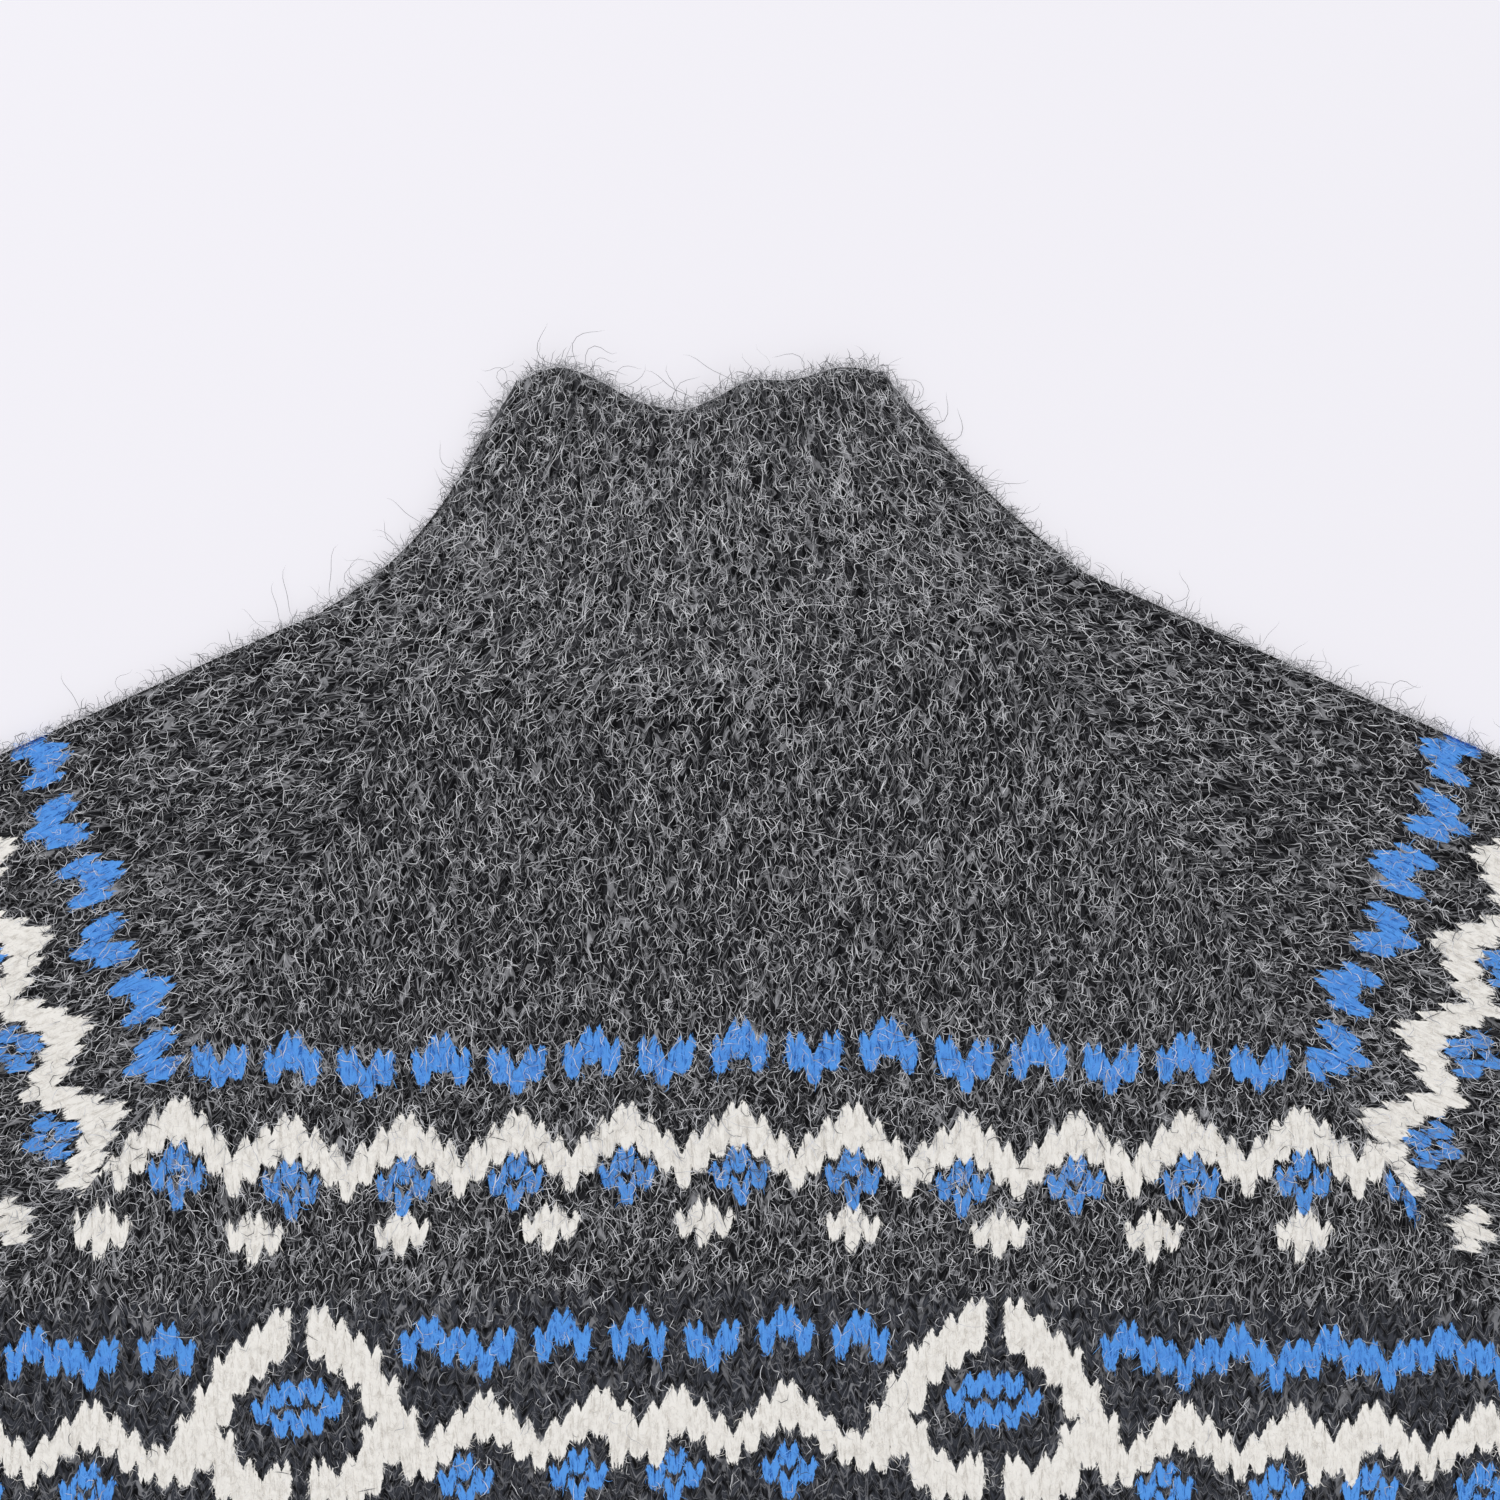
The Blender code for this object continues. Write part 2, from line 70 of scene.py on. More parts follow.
RAY_REACH = 0.5              # rays start this far above or below the table
OUTLINE_STEP = 0.0004        # stride of the walk that looks for a solid's outline
OUTLINE_WALK = 0.0050        # the longest such walk
OUTLINE_INSET = 0.00012      # heights at an edge are read this far inside it
SEAM_REACH = 0.0013          # a neighbour this close makes an edge a seam
SEAM_LAP = 0.00022           # each side of a seam reaches this far over the gap
RIM_DROP = 0.0004            # a free edge lies this much lower than the cloth beside it
TUBE_WRAP = 0.0017           # a tube's rim turns down this far, to meet its other side
PANEL_WRAP = 0.0024          # a panel's rim turns down this far
PROBE_DEPTH = 0.001          # neighbours are looked for this far inside the face
SURFACE_ROUNDS = 10          # rounds of smoothing of a packed surface
HALVINGS = 7                 # times that the last step to an outline is halved
NO_WAY = 1e-7                # a walk shorter than this has no direction
UNDER_MAP_SHIFT = 1.3        # keeps the under side apart on the stitch map
RIM_PULL = 0.5               # share of the way to its neighbours' middle in a round of smoothing
INNER_PULL = 0.4             # the same for the stitches next to the rim
CREASE_FORM = (0.55, 0.45)   # height of a crease at its ends, and what its middle adds
RIB_FORM = (0.85, 0.15)      # shares of the ribs and of the rows in the relief of a rib
STITCH_FORM = (0.62, 0.18, 0.20)  # shares of the arms, the wales and the rows in the others
MERGE_REACH = 0.00001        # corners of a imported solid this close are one
SHARP_ANGLE = 50.0           # degrees at which the wrong side shows an edge
SHRINK = 0.0009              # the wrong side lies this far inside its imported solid
UNDER_CLEAR = 0.00012        # the knit rests this far above the table
NAP_CEILING = 0.0185         # no fibre stands higher than this

BODY_ROW_TOP = 0.1522        # height of the first colourwork row on the body
BODY_COLUMN_EDGE = -0.0066   # left edge of the body's middle wale

CLOSE_CENTRE = (0.0, 0.245)  # the yoke, where the nap is densest
CLOSE_HALF = 0.262
CLOSE_FADE = 0.06
FAR_NAP = 0.07               # share of the nap away from the yoke
SMOOTH_ROW = 16.5            # the nap thins out from this row on
SMOOTH_FADE = 2.0
SMOOTH_NAP = 0.14            # share of the nap below those rows


# ---- small helpers ----------------------------------------------------------------------------
def ease(value: np.ndarray) -> np.ndarray:
    """Clamp to 0..1 and ease both ends."""
    held = np.clip(value, 0.0, 1.0)
    return held * held * (3.0 - 2.0 * held)


def fraction(value: np.ndarray) -> np.ndarray:
    """Return the part of a stitch coordinate past its whole number."""
    return value - np.floor(value)


def add_object(name: str, mesh: bpy.types.Mesh) -> bpy.types.Object:
    """Put a mesh into the scene.

    Args:
        name: The piece's name.
        mesh: Its mesh, already in place.

    Returns:
        The new object, at the origin.
    """
    made = bpy.data.objects.new(name, mesh)
    bpy.context.scene.collection.objects.link(made)
    return made


def finished(bm: bmesh.types.BMesh, name: str, smooth: bool = False) -> bpy.types.Mesh:
    """Turn a mesh under construction into a mesh, shaded flat or smooth, and free it."""
    mesh = bpy.data.meshes.new(name)
    bm.to_mesh(mesh)
    bm.free()
    if smooth:
        mesh.polygons.foreach_set("use_smooth", np.ones(len(mesh.polygons), dtype=bool))
    return mesh


def read_all(data: bpy.types.bpy_prop_collection, key: str, width: int = 1,
             kind: type = np.float32) -> np.ndarray:
    """Read one property of every element.

    Args:
        data: The elements.
        key: The property's name.
        width: Numbers in one value.
        kind: The type of the numbers.

    Returns:
        An array with a row for each element, or a flat one where the width is 1.
    """
    values = np.zeros(len(data) * width, dtype=kind)
    data.foreach_get(key, values)
    return values.reshape(-1, width) if width > 1 else values


def write_map(mesh: bpy.types.Mesh, name: str, places: np.ndarray) -> None:
    """Give a mesh a UV map from a place for each vertex."""
    corners = read_all(mesh.loops, "vertex_index", kind=np.int32)
    layer = mesh.uv_layers.new(name=name)
    layer.data.foreach_set("uv", places[corners].astype(np.float32).ravel())


# ---- colourwork -------------------------------------------------------------------------------
PEERIE = (
    "B.......",
    "BB.B.B.B",
    ".B.BBB.B",
    "....B...",
)
ZIGZAG = (
    "C.....",
    "CC...C",
    "cCC.CC",
    "..CCC.",
    "...C..",
)
CIRCLE = (
    ".b.",
    "b.b",
    ".b.",
)
DOT = (
    ".c.",
    "CCC",
    ".c.",
)
TENT = (
    ".B.",
    "BsB",
    "s.s",
)
VALLEY = (
    "B.B",
    "sBs",
    ".s.",
)
PEAK = (
    "...C...",
    "..CCC..",
    ".CCcCC.",
    "CC...CC",
    "c.....c",
)
RING = (
    ".B.",
    "B.B",
    ".B.",
)
ARCH = (
    "......C.C......",
    ".....CC.CC.....",
    "....CCC.CCC....",
    "...CCC...CCC...",
    "...CC.....CC...",
    "..CC..BBB..CC..",
    "..CC.B...B.CC..",
    ".CC...BBB...CC.",
    ".CCC.......CCC.",
    "CCCC.......CCCC",
    "CC.CC.c.c.CC.CC",
    "...CCCC.CCCC...",
    "....CCC.CCC....",
)
SCANT = 0.46                 # share of its colour on a scant stitch
LAST_COLUMN = 200            # past the last wale of every piece
ARCH_REPEAT = 37             # wales from one arch to the next
ARCH_HALF = 7                # wales from an arch's middle to its foot
BAND_REPEAT = 111            # wales from one run of small blue points to the next
TENTS = (-51, -44, -30, -23, -19, -11, -7, 7, 13, 18, 24)
VALLEYS = (-48, -27, -15, 10, 15, 21, 27)


@dataclass(frozen=True)
class Motif:
    """A small chart that repeats along a row: C cream, B blue; c and s scant, b veiled.

    Attributes:
        chart: Rows of stitches, the collar's end first.
        row: The first row.
        columns: The columns of the chart's first stitch.
        repeat: Stitches from one repeat to the next.
        last: The last column that it may cover.
    """

    chart: tuple[str, ...]
    row: int
    columns: tuple[int, ...]
    repeat: int
    last: int = LAST_COLUMN

    def paint(self, columns: np.ndarray, rows: np.ndarray, yarns: np.ndarray) -> None:
        """Write the motif's letters over a field of stitches."""
        down = rows - self.row
        for start in self.columns:
            across = np.mod(columns - start, self.repeat)
            for index, line in enumerate(self.chart):
                for place, letter in enumerate(line):
                    if letter != ".":
                        hit = (down == index) & (across == place) & (columns <= self.last)
                        yarns[hit] = letter


@dataclass(frozen=True)
class Colourwork:
    """The motifs of one piece, in the order they are knitted in."""

    motifs: tuple[Motif, ...]

    def yarns(self, columns: np.ndarray, rows: np.ndarray) -> np.ndarray:
        """Return a letter for each stitch.

        Args:
            columns: Whole columns.
            rows: Whole rows, counted from the first colourwork row towards the hem.

        Returns:
            An array of the charts' letters, and a full stop for the ground.
        """
        field = np.full(columns.shape, ".", dtype="<U1")
        for motif in self.motifs:
            motif.paint(columns, rows, field)
        return field


def yoke_motifs(peak: int, zigzag: int, dot: int, last_dot: int) -> tuple[Motif, ...]:
    """Return the first band of the yoke.

    Args:
        peak: Column of a peak of the zigzag.
        zigzag: Its first row.
        dot: Column of the middle of a cream dot.
        last_dot: Last column that a dot may cover.

    Returns:
        Small blue pattern, zigzag, circles under its peaks, and dots.
    """
    return (
        Motif(PEERIE, 0, (0,), 8),
        Motif(ZIGZAG, zigzag, (peak,), 6),
        Motif(CIRCLE, zigzag + 3, (peak - 1,), 6),
        Motif(DOT, 12, (dot - 1,), 8, last_dot),
    )


def second_band(arch: int, first: int) -> tuple[Motif, ...]:
    """Return the wide band below the first.

    Args:
        arch: Column of the middle of an arch.
        first: The arch's top row.

    Returns:
        Arches, and between them small blue points over a zigzag with rings under its peaks.
    """
    peaks, rings = (10, 16, 20, 26), (9, 15, 20, 26)
    return (
        Motif(TENT, first + 1, tuple(arch + step - 1 for step in TENTS), BAND_REPEAT),
        Motif(VALLEY, first + 2, tuple(arch + step - 1 for step in VALLEYS), BAND_REPEAT),
        Motif(PEAK, first + 6, tuple(arch + step - 3 for step in peaks), ARCH_REPEAT),
        Motif(RING, first + 10, tuple(arch + step - 1 for step in rings), ARCH_REPEAT),
        Motif(ARCH, first, (arch - ARCH_HALF,), ARCH_REPEAT),
    )


# ---- gauges and wales ---------------------------------------------------------------------------
@dataclass(frozen=True)
class Gauge:
    """The size of one stitch.

    Attributes:
        across: From wale to wale.
        along: From row to row.
        slant: How far the middle of a stitch hangs below its arms.
        depth: Height of the relief from groove to ridge, halved.
    """

    across: float
    along: float
    slant: float
    depth: float


BODY_GAUGE = Gauge(across=0.00632, along=0.00520, slant=0.0041, depth=0.00042)
SLEEVE_GAUGE = Gauge(across=0.00537, along=0.00595, slant=0.0038, depth=0.00040)
RIB_GAUGE = Gauge(across=0.00640, along=0.00520, slant=0.0016, depth=0.00055)


class Knit(Enum):
    """How the stitches of a skin stand up."""

    STOCKINETTE = "stockinette"
    RIB = "rib"


class Side(Enum):
    """The side of a laid piece that a skin covers."""

    UPPER = 1
    UNDER = -1


# How far the rows of the laid body hang below level.
# Columns: place across, drop of the small blue rows, of the first zigzag, of the second band.
ROW_SWAY = (
    (-0.255, 0.0015, -0.0045, 0.0060),
    (-0.190, 0.0038, -0.0055, 0.0052),
    (-0.155, 0.0048, 0.0008, 0.0040),
    (-0.120, 0.0056, 0.0002, 0.0028),
    (-0.045, 0.0020, -0.0022, -0.0003),
    (0.000, -0.0010, -0.0046, -0.0012),
    (0.073, 0.0017, 0.0004, 0.0012),
    (0.148, 0.0040, -0.0006, 0.0050),
    (0.255, 0.0040, -0.0022, 0.0060),
)
SWAY_ROWS = (1.5, 7.0, 19.0)  # the rows that those drops belong to


@dataclass(frozen=True)
class BodyWales:
    """Upright wales of a body panel or of the hem, which spread a little below the yoke.

    Attributes:
        gauge: The stitch.
        column_edge: Left edge of column 0.
        row_top: Height of row 0.
        flare: Share by which the wales spread from one row to the next.
        flare_rows: Rows over which they spread.
        drift: How far the second band has slipped towards -X.
        drift_rows: The row where the slip starts, and the rows it takes.
        search: Columns and rows among which the solid is looked for.
    """

    gauge: Gauge
    column_edge: float
    row_top: float
    flare: float = 0.0006
    flare_rows: float = 22.0
    drift: float = 0.0031
    drift_rows: tuple[float, float] = (13.0, 6.0)
    search: tuple[int, int, int, int] = (-60, 60, -40, 140)

    def places(self, u: np.ndarray, v: np.ndarray) -> tuple[np.ndarray, np.ndarray]:
        """Return the places of stitch coordinates, u across and v towards the hem."""
        spread = 1.0 + self.flare * np.clip(v, 0.0, self.flare_rows)
        slip = self.drift * ease((v - self.drift_rows[0]) / self.drift_rows[1])
        x = self.column_edge + u * self.gauge.across * spread - slip
        y = self.row_top - v * self.gauge.along - self.sway(x, v)
        return x, y

    def sway(self, x: np.ndarray, v: np.ndarray) -> np.ndarray:
        """Return how far the rows hang below level at each place."""
        table = np.array(ROW_SWAY)
        small, zigzag, second = (np.interp(x, table[:, 0], table[:, column])
                                 for column in range(1, 4))
        first, middle, last = SWAY_ROWS
        upper = ease((v - first) / (middle - first))
        lower = ease((v - middle) / (last - middle))
        return small + (zigzag - small) * upper + (second - zigzag) * lower


@dataclass(frozen=True)
class SleeveWales:
    """Wales of a sleeve, which run outwards and droop towards the cuff.

    Attributes:
        gauge: The stitch.
        sign: 1 for the sleeve at +X, -1 for the one at -X.
        anchor: The place where column 0 crosses the first row.
        angle: Degrees below level of the wales on the yoke.
        droop: Further degrees gained from bend_start on.
        bend_start: Distance from the anchor at which the sleeve starts to droop.
        bend_length: Distance over which it droops.
        search: Columns and rows among which the solid is looked for.
    """

    gauge: Gauge
    sign: int
    anchor: tuple[float, float]
    angle: float = 23.2
    droop: float = 9.6
    bend_start: float = 0.143
    bend_length: float = 0.362
    search: tuple[int, int, int, int] = (-36, 48, -40, 110)

    def places(self, u: np.ndarray, v: np.ndarray) -> tuple[np.ndarray, np.ndarray]:
        """Return the places of stitch coordinates, u towards the underarm, v outwards."""
        start = math.radians(self.angle)
        rate = math.radians(self.droop) / self.bend_length
        run = v * self.gauge.along
        bent = np.clip(run - self.bend_start, 0.0, None)
        heading = start + rate * bent
        straight = run - bent
        out_x = straight * math.cos(start) + (np.sin(heading) - math.sin(start)) / rate
        out_y = -straight * math.sin(start) + (np.cos(heading) - math.cos(start)) / rate
        across = u * self.gauge.across
        x = self.anchor[0] + self.sign * (out_x - across * np.sin(heading))
        y = self.anchor[1] + out_y - across * np.cos(heading)
        return x, y


# Sides of the collar, base first.  Columns: share of the height, left x, left y, right x, right y.
COLLAR_SIDES = (
    (0.00, -0.1455, 0.2916, 0.1140, 0.3046),
    (0.20, -0.1180, 0.3081, 0.0985, 0.3136),
    (0.42, -0.1045, 0.3236, 0.0800, 0.3306),
    (0.70, -0.0925, 0.3476, 0.0620, 0.3506),
    (1.00, -0.0800, 0.3706, 0.0460, 0.3736),
)
# How far the base seam and the rim stray from straight lines between the sides.
# Columns: share of the width, dip of the base, dip of the rim.
COLLAR_DIPS = (
    (0.00, 0.0000, 0.0000),
    (0.12, -0.0260, 0.0030),
    (0.25, -0.0345, -0.0030),
    (0.45, -0.0405, -0.0120),
    (0.65, -0.0375, -0.0020),
    (0.85, -0.0180, 0.0010),
    (1.00, 0.0000, 0.0000),
)


@dataclass(frozen=True)
class CollarWales:
    """Ribs of the collar, which fan out from the rim to the base seam.

    Attributes:
        gauge: The stitch.
        ribs: Ribs across one side.
        rows: Rows from the rim to the seam.
        search: Columns and rows among which the solid is looked for.
        overrun: How much wider and longer the ribs' field is than the collar, beyond its ends.
    """

    gauge: Gauge
    ribs: int = 31
    rows: int = 20
    search: tuple[int, int, int, int] = (-3, 35, -4, 26)
    overrun: tuple[float, float] = (0.05, 0.09)

    def places(self, u: np.ndarray, v: np.ndarray) -> tuple[np.ndarray, np.ndarray]:
        """Return the places of stitch coordinates, u across and v from the rim down."""
        across = u / self.ribs
        up = 1.0 - v / self.rows
        sides, dips = np.array(COLLAR_SIDES), np.array(COLLAR_DIPS)
        beyond = up - np.clip(up, 0.0, 1.0)
        wider, longer = self.overrun
        left_x, left_y, right_x, right_y = (
            np.interp(up, sides[:, 0], sides[:, column]) + beyond * more
            for column, more in ((1, wider), (2, longer), (3, -wider), (4, longer)))
        base, rim = (np.interp(across, dips[:, 0], dips[:, column]) for column in (1, 2))
        x = left_x + (right_x - left_x) * across
        y = left_y + (right_y - left_y) * across + base * (1.0 - up) + rim * up
        return x, y


# ---- creases -----------------------------------------------------------------------------------
@dataclass(frozen=True)
class Crease:
    """A soft ridge, or a trough where its height is negative, between two places."""

    start: tuple[float, float]
    end: tuple[float, float]
    height: float
    half_width: float

    def lift(self, x: np.ndarray, y: np.ndarray) -> np.ndarray:
        """Return how far the crease raises the cloth at each place."""
        dx, dy = self.end[0] - self.start[0], self.end[1] - self.start[1]
        share = ((x - self.start[0]) * dx + (y - self.start[1]) * dy) / (dx * dx + dy * dy)
        nearest = np.clip(share, 0.0, 1.0)
        away = np.hypot(x - self.start[0] - nearest * dx, y - self.start[1] - nearest * dy)
        fade = np.exp(-(away / self.half_width) ** 2)
        ends, middle = CREASE_FORM
        return self.height * fade * (ends + middle * np.sin(math.pi * nearest))


CREASES = (
    Crease((-0.205, 0.050), (-0.120, 0.085), 0.0016, 0.011),
    Crease((-0.190, 0.028), (-0.095, 0.040), -0.0004, 0.012),
    Crease((0.215, 0.040), (0.130, 0.078), 0.0015, 0.012),
    Crease((0.175, 0.015), (0.100, 0.036), -0.0004, 0.013),
    Crease((-0.140, -0.060), (-0.020, -0.105), 0.0018, 0.019),
    Crease((-0.120, -0.085), (0.010, -0.125), -0.0004, 0.015),
    Crease((0.190, -0.085), (0.060, -0.150), 0.0018, 0.021),
    Crease((0.020, -0.190), (0.125, -0.215), 0.0015, 0.017),
    Crease((-0.230, -0.170), (-0.150, -0.245), 0.0016, 0.018),
    Crease((0.215, -0.215), (0.150, -0.270), 0.0014, 0.015),
    Crease((-0.330, 0.110), (-0.290, 0.160), 0.0017, 0.010),
    Crease((-0.372, 0.045), (-0.352, 0.120), 0.0015, 0.009),
    Crease((-0.455, 0.020), (-0.425, 0.090), 0.0018, 0.011),
    Crease((-0.545, -0.015), (-0.515, 0.045), -0.0004, 0.012),
    Crease((0.325, 0.105), (0.300, 0.165), 0.0016, 0.010),
    Crease((0.380, 0.040), (0.360, 0.125), 0.0016, 0.010),
    Crease((0.470, 0.015), (0.430, 0.080), 0.0017, 0.011),
    Crease((0.560, -0.020), (0.525, 0.050), -0.0004, 0.012),
    Crease((-0.098, 0.300), (-0.060, 0.352), 0.0014, 0.010),
    Crease((0.052, 0.292), (0.036, 0.350), 0.0012, 0.011),
    Crease((-0.020, 0.268), (-0.014, 0.330), -0.0004, 0.012),
)

SEAM_BARE = 0.85             # share of the nap that is missing on the collar's base seam
SEAM_PAINTED_SHADOW = 1.8              # painted shadow along the collar's base seam: how much lower the seam is taken in the shading, in heights of the relief
# The line of the collar's base seam, along which a shadow is painted and the nap is thinned.
BASE_SEAM = (
    Crease((-0.110, 0.2662), (-0.078, 0.2598), 0.7, 0.0028),
    Crease((-0.078, 0.2598), (-0.050, 0.2574), 1.0, 0.0028),
    Crease((-0.050, 0.2574), (-0.004, 0.2570), 1.0, 0.0028),
    Crease((-0.004, 0.2570), (0.034, 0.2616), 0.6, 0.0028),
)


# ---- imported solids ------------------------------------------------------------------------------
class NodeForm:
    """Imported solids, read by upright rays."""

    def __init__(self, names: list[str]) -> None:
        """Gather the solids' triangles.

        Args:
            names: The nodes to read.
        """
        points: list[Vector] = []
        faces: list[tuple[int, ...]] = []
        for name in names:
            mesh = frame["nodes"][name].data
            first = len(points)
            points += [vertex.co.copy() for vertex in mesh.vertices]
            faces += [tuple(first + index for index in face.vertices) for face in mesh.polygons]
        self.tree = BVHTree.FromPolygons(points, faces)

    def height(self, x: float, y: float, side: Side) -> float:
        """Return the height of the solid's upper or lower surface, or NaN beside it."""
        start = Vector((x, y, RAY_REACH * side.value))
        hit = self.tree.ray_cast(start, Vector((0.0, 0.0, -side.value)))[0]
        return math.nan if hit is None else hit.z

    def heights(self, x: np.ndarray, y: np.ndarray, side: Side) -> np.ndarray:
        """Return the heights at arrays of places."""
        flat = [self.height(px, py, side) for px, py in zip(x.ravel(), y.ravel())]
        return np.array(flat).reshape(x.shape)

    def covers(self, x: float, y: float) -> bool:
        """Tell whether the solid lies over or under a place."""
        return not math.isnan(self.height(x, y, Side.UPPER))

    def outline_from(self, inside: Vector, towards: Vector) -> Vector:
        """Walk from a covered place in a direction, and return where the solid ends.

        Args:
            inside: A place on the solid.
            towards: Where to walk, past which the outline is looked for.

        Returns:
            The last covered place on the way, in plan.
        """
        way = (towards - inside).to_2d()
        if way.length < NO_WAY:
            return towards.to_2d()
        step = way.normalized() * OUTLINE_STEP
        place = inside.to_2d()
        limit = way.length + OUTLINE_WALK
        walked = 0.0
        while walked < limit and self.covers(*(place + step)):
            place = place + step
            walked += OUTLINE_STEP
        low, high = place, place + step
        for _ in range(HALVINGS):
            middle = (low + high) / 2
            if self.covers(*middle):
                low = middle
            else:
                high = middle
        return low


def filled(heights: np.ndarray, rounds: int) -> np.ndarray:
    """Smooth a field of heights that has NaN outside the solid.

    Args:
        heights: The field.
        rounds: How many times each height is averaged with its neighbours.

    Returns:
        The smoothed field, with NaN where it was.
    """
    outside = np.isnan(heights)
    field = np.where(outside, 0.0, heights)
    weight = np.where(outside, 0.0, 1.0)
    for _ in range(rounds):
        total, count = field * weight, weight.copy()
        for axis in (0, 1):
            for shift in (-1, 1):
                total = total + np.roll(field * weight, shift, axis)
                count = count + np.roll(weight, shift, axis)
        field = np.where(outside, 0.0, total / np.maximum(count, 1.0))
    return np.where(outside, math.nan, field)


# ---- knitted skins ------------------------------------------------------------------------------
@dataclass
class KnitSkin:
    """The knitted face of one piece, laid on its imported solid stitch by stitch.

    Attributes:
        node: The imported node.
        wales: Maps stitch coordinates to places.
        knit: How the stitches stand.
        sides: The sides that the skin covers.
        colourwork: The motifs, if the piece has any.
        fine: Cells across and along a stitch on the upper side.
        coarse: The same on the under side.
        wander: How far wales stray from true.
        top_nap: Share of the full nap on the upper side.
        rounding: Rounds of smoothing along the free edges.
    """

    node: str
    wales: BodyWales | SleeveWales | CollarWales
    knit: Knit
    sides: tuple[Side, ...]
    colourwork: Colourwork | None = None
    fine: tuple[int, int] = (4, 2)
    coarse: tuple[int, int] = (4, 1)
    wander: float = 0.0011
    top_nap: float = 1.0
    rounding: int = 14

    def build(self) -> bpy.types.Object:
        """Build the skin.

        Returns:
            The skin's object, with its stitch map, yarn colours and wale headings.
        """
        self.form = NodeForm([self.node])
        self.neighbours = NodeForm([name for name in frame["nodes"] if name != self.node])
        self.bm = bmesh.new()
        layers = self.bm.verts.layers
        self.stitch = layers.float_vector.new("stitch")
        self.yarn = layers.float_color.new("yarn")
        self.wale, self.nap, self.outward = (layers.float_vector.new(name)
                                             for name in ("wale", "nap", "outward"))
        for side in self.sides:
            self.lay(side)
        self.bm.verts.index_update()
        self.bm.faces.sort(key=self.face_order)
        mesh = finished(self.bm, f"{self.node}_knit", smooth=True)
        self.map_stitches(mesh)
        return add_object(mesh.name, mesh)

    def face_order(self, face: bmesh.types.BMFace) -> float:
        """Return a number that puts the faces in the same order in every run."""
        first, second, third = sorted(vertex.index for vertex in face.verts)[:3]
        count = float(len(self.bm.verts))
        return (first * count + second) * count + third

    def extent(self) -> tuple[int, int, int, int]:
        """Return the first and last columns and rows that the solid reaches."""
        first_u, last_u, first_v, last_v = self.wales.search
        u, v = np.meshgrid(np.arange(first_u, last_u), np.arange(first_v, last_v))
        x, y = self.wales.places(u.astype(float), v.astype(float))
        covered = ~np.isnan(self.form.heights(x, y, Side.UPPER))
        columns, rows = u[covered], v[covered]
        return columns.min() - 1, columns.max() + 2, rows.min() - 1, rows.max() + 2

    def relief(self, u: np.ndarray, v: np.ndarray) -> np.ndarray:
        """Return how far the stitches stand above their grooves, from -1 to 1."""
        wale, row = -np.cos(2 * math.pi * u), -np.cos(2 * math.pi * v)
        if self.knit is Knit.RIB:
            return RIB_FORM[0] * wale + RIB_FORM[1] * row
        arms = -np.cos(4 * math.pi * u)
        return STITCH_FORM[0] * arms + STITCH_FORM[1] * wale + STITCH_FORM[2] * row

    def stray(self, x: np.ndarray, y: np.ndarray) -> tuple[np.ndarray, np.ndarray]:
        """Return the slow wander of the stitches in plan, as a sum of long waves."""
        dx = np.sin(41 * x + 3.0 * np.sin(23 * y + 0.7)) + 0.6 * np.sin(97 * y + 31 * x)
        dy = np.sin(37 * y + 2.2 * np.sin(29 * x)) + 0.7 * np.sin(83 * x - 19 * y + 1.1)
        return self.wander * dx * 0.6, self.wander * dy * 0.6

    def lay(self, side: Side) -> None:
        """Lay the lattice of one side on the solid."""
        gauge = self.wales.gauge
        cells_u, cells_v = self.fine if side is Side.UPPER else self.coarse
        first_u, last_u, first_v, last_v = self.extent()
        columns = (last_u - first_u) * cells_u
        rows = (last_v - first_v) * cells_v
        u, v = np.meshgrid(first_u + np.arange(columns + 1) / cells_u,
                           first_v + np.arange(rows + 1) / cells_v)
        arm = np.abs(2.0 * fraction(u) - 1.0) - 0.5
        slanted = v - arm * gauge.slant / gauge.along
        x, y = self.wales.places(u, slanted)
        dx, dy = self.stray(x, y)
        x, y = x + dx, y + dy
        surface = filled(self.form.heights(x, y, side), SURFACE_ROUNDS)
        if side is Side.UPPER:
            for crease in CREASES:
                surface = surface + crease.lift(x, y)
            z = surface + gauge.depth * self.relief(u, v)
        else:
            z = surface + UNDER_CLEAR + gauge.depth * (1.0 - self.relief(u, v))
        self.plant(side, (u, v), (x, y, z), self.headings(u, slanted), self.colours(u, v))

    def headings(self, u: np.ndarray, v: np.ndarray) -> tuple[np.ndarray, np.ndarray]:
        """Return the unit directions of the wales, away from the collar."""
        x0, y0 = self.wales.places(u, v - 0.5)
        x1, y1 = self.wales.places(u, v + 0.5)
        length = np.hypot(x1 - x0, y1 - y0)
        return (x1 - x0) / length, (y1 - y0) / length

    def colours(self, u: np.ndarray, v: np.ndarray) -> np.ndarray:
        """Return the shares of cream, blue, veil and nap round each lattice point."""
        if self.colourwork is None:
            plain = np.zeros(u.shape + (4,))
            plain[..., 3] = 1.0
            return plain
        middle_u = (u[:-1, :-1] + u[1:, 1:]) / 2
        middle_v = (v[:-1, :-1] + v[1:, 1:]) / 2
        letters = self.colourwork.yarns(np.floor(middle_u).astype(int),
                                        np.floor(middle_v).astype(int))
        cells = np.stack([(letters == "C") + SCANT * (letters == "c"),
                          np.isin(letters, ("B", "b")) + SCANT * (letters == "s"),
                          1.0 * (letters == "b")], axis=-1)
        padded = np.pad(cells, ((1, 1), (1, 1), (0, 0)))
        shares = (padded[:-1, :-1] + padded[1:, :-1] + padded[:-1, 1:] + padded[1:, 1:]) / 4
        fuzz = 1.0 - (1.0 - SMOOTH_NAP) * ease((v - SMOOTH_ROW) / SMOOTH_FADE)
        return np.concatenate([shares, fuzz[..., None]], axis=-1)

